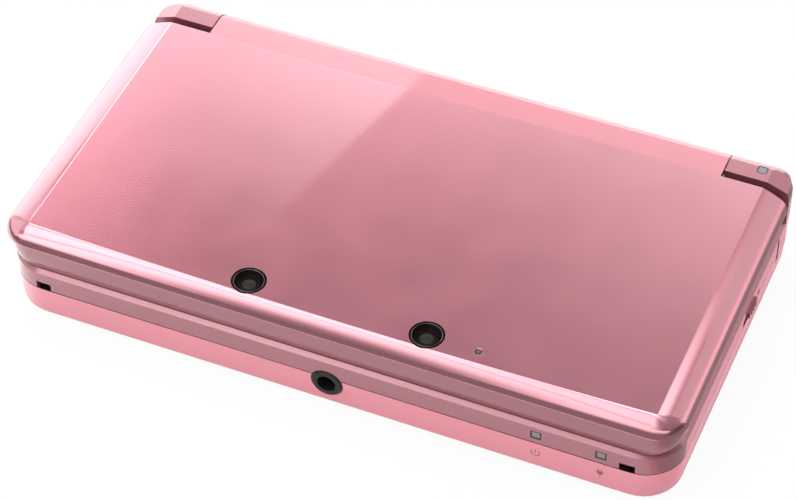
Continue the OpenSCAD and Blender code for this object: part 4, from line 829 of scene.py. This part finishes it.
def make_floor():
    bm = bmesh.new()
    bmesh.ops.create_grid(bm, x_segments=1, y_segments=1, size=3.0,
                          matrix=Matrix.Translation((0, 0, -0.0002)))
    piece = from_bmesh("studio_floor", bm)
    material, g = new_material("pale_floor")
    eye = g.add("ShaderNodeLightPath", output="Is Camera Ray")
    paper = g.add("ShaderNodeBsdfDiffuse", None, {"Color": (0.86, 0.86, 0.86, 1)})
    glow = g.add("ShaderNodeEmission", None, {"Color": (1, 1, 1, 1), "Strength": 1.0})
    seen = g.add("ShaderNodeMixShader", None, {0: eye * FLOOR_GLOW, 1: paper, 2: glow})
    g.add("ShaderNodeOutputMaterial", None, {"Surface": seen})
    dress(piece, material)


def back_wall_level(x, _y, z):
    """Bright low down and at the far left, dark higher up, with a dip just right of the middle."""
    low_light = 2.4 - 2.25 * ramp(z - 0.45 * x, 0.70, 1.22)
    light = low_light + 0.16 * ramp(x, -0.5, -0.2) + 1.0 * (1 - ramp(x, -1.55, -1.3))
    right_share = 1 - 0.62 * ramp(x, -0.05, 0.15) + 0.08 * ramp(x, 0.2, 0.4)
    dip = 1 - 0.55 * ramp(x, 0.0, 0.1) * (1 - ramp(x, 0.14, 0.28))
    far_right = 1 + ramp(x, 0.75, 0.95) * (ramp(z, 0.2, 0.42) - 0.5)
    return light * right_share * dip * far_right


def make_studio():
    """Pale room and floor, and cards placed by what the lid, ledge and walls mirror of them."""
    make_world()
    make_floor()
    card("back_wall", upright(-2.2, 2.0, 0.0, 1.6, 0.9), back_wall_level)
    # back left: the box whose leaning right edge is mirrored across the lid
    card("left_box",
         [(-0.95, 0.75, 0.40), (-0.094, 0.75, 0.40), (-0.50, 0.75, 1.03), (-0.95, 0.75, 1.03)],
         lambda x, y, z: 3.9 * ramp(x, -0.75, -0.25) * (1 - ramp(z, 0.62, 0.95)))
    # low at the back left: mirrored in the lid's left slope
    card("low_box", upright(-1.25, -0.40, 0.10, 0.70, 0.74),
         lambda x, y, z: 2.9 * (1 - ramp(z - 0.6 * x, 0.97, 1.40)) * (1 - ramp(z, 0.62, 0.69)))
    # thin strip mirrored along the lid's left crease
    card("crease_strip", crease_strip_corners(), 14.0)
    # overhead pair with a narrow gap, both fading to the right: the lid's front band
    card("top_box", lying(-0.55, 0.45, 0.02, 0.5),
         lambda x, y, z: 5.0 * (1 - 0.8 * ramp(x, -0.1, 0.4)) * (1 - ramp(y, 0.3, 0.5)))
    card("front_box", lying(-0.6, 0.45, -0.55, -0.05),
         lambda x, y, z: 3.9 * (1 - 0.35 * ramp(x, -0.35, -0.1)) * (1 - 0.8 * ramp(x, -0.05, 0.3)))
    # mirrored round the front left corner
    card("corner_box", lying(-1.6, -0.6, -0.35, 0.73), 1.0)
    card("corner_wall", upright(-1.35, -0.8, 0.66, 1.0, 0.735), 1.2)
    # mirrored as the bright wedge along the lid's right crease
    card("right_box", lying(0.12, 0.4, 0.5, 0.89),
         lambda x, y, z: 4.1 * (1 - ramp(y, 0.74, 0.96)) * (1 - ramp(x, 0.25, 0.4)))
    card("right_fill", lying(0.4, 1.3, -0.3, 0.55), 0.4)
    # left, mirrored round the front left corner
    card("left_fill",
         [(-1.0, 0.45, 0.25), (-1.0, -0.75, 0.25), (-1.0, -0.75, 1.0), (-1.0, 0.45, 1.0)], 1.6)
    # front fill, high enough to leave the horizon dark, and a dim front below it
    card("front_fill", [(-1.1, -1.15, 0.5), (1.3, -1.15, 0.5), (1.3, -0.6, 1.0), (-1.1, -0.6, 1.0)],
         lambda x, y, z: (3.6 - 1.2 * ramp(x, -0.4, -0.1)) * ramp(z, 0.4, 0.95))
    card("wall_fill", upright(-1.1, 1.3, 0.0, 0.5, -1.16), 0.35)
    # dim card on the table, mirrored as the darker band of the front walls
    card("front_flag", lying(-1.2, 1.2, -1.6, -0.06, z=0.0), 0.35, mirror_only=True)
    # pink strips mirrored by the right end's ledge and wall
    card("ledge_strip", upright(0.58, 0.88, 0.63, 0.84, 0.88), 2.2, tint=(1.0, 0.6, 0.66))
    card("wall_strip", lying(0.0665, 0.0695, -0.05, 0.05, z=0.0), 1.1, tint=(1.0, 0.52, 0.58),
         mirror_only=True)
    # dim card on the table beside that strip, mirrored by the right walls
    card("right_flag", lying(0.0696, 1.6, -0.06, 1.4, z=0.0), 0.4, mirror_only=True)


def crease_strip_corners():
    """Strip that the lid's left crease mirrors: just outside what the flat top mirrors."""
    corners = []
    for y, slope in ((0.027, 1.5), (-0.033, 1.5), (-0.033, 4.0), (0.027, 4.0)):
        a = math.radians(slope)
        spot, normal = Vector((CREASE_X, y, CREASE_Z)), Vector((-math.sin(a), 0, math.cos(a)))
        ray = (spot - EYE).normalized().reflect(normal)
        corners.append(tuple(spot + ray * ((STRIP_Y - spot.y) / ray.y)))
    return corners


def make_camera():
    """Camera at the front right, looking down at about 46 degrees."""
    right = Vector((0.92242916, 0.38614288, -0.00425799))
    down = Vector((0.27394945, -0.66211006, -0.69753994))
    forward = Vector((-0.27216934, 0.64226471, -0.71653325))
    data = bpy.data.cameras.new("camera")
    data.sensor_width = 36.0
    data.lens = FOCAL_PIXELS / PICTURE_WIDTH * data.sensor_width
    data.clip_start = 0.01
    data.clip_end = 20.0
    camera = bpy.data.objects.new("camera", data)
    bpy.context.scene.collection.objects.link(camera)
    turn = Matrix((right, -down, -forward)).transposed().to_4x4()
    camera.matrix_world = Matrix.Translation(EYE) @ turn
    bpy.context.scene.camera = camera


# ---------------------------------------------------------------- assembly

def at_seam(p):
    """Whether a point in millimetres is on the outer edge of the base's seam."""
    outer = abs(p.x) > 66.4 or abs(p.y) > 36.4 or math.hypot(abs(p.x) - 60, abs(p.y) - 30) > 6.5
    return abs(p.z - SEAM_Z) < 0.1 and outer


def main():
    for node, piece in frame["nodes"].items():
        dress(piece, FINISH.get(SLOT_OF[node], FINISH["black_gloss"]))
    dress(frame["nodes"]["touch_panel"],
          screen_glass("touch_glass", half_width=30.6, half_depth=23.0, middle_y=-0.4,
                       picture=(0.035, 0.037, 0.04), border=(0.012, 0.012, 0.013)))
    dress(frame["nodes"]["upper_glass"],
          screen_glass("display_glass", half_width=38.4, half_depth=23.05, middle_y=-3.5,
                       picture=(0.022, 0.023, 0.026), border=(0.004, 0.004, 0.005)))
    make_lid_cover()
    make_cameras()
    make_light_windows()
    make_printed_marks()
    refined("lid_inner_shell", flat=False)
    refined("top_frame", smooth_angle=18.0, seam=at_seam)
    # the cover's parting face gets painted shade for the seam's slit
    paint_seam_shade(refined("bottom_cover", seam=at_seam))
    for node in ("hinge_barrel", "shoulder_button_left", "shoulder_button_right", "dpad",
                 "memory_card_flap"):
        refined(node)
    dress(refined("headphone_jack"), FINISH["jack_black"])
    make_screws()
    make_studio()
    make_camera()
    bpy.context.scene.view_settings.view_transform = "Standard"


main()
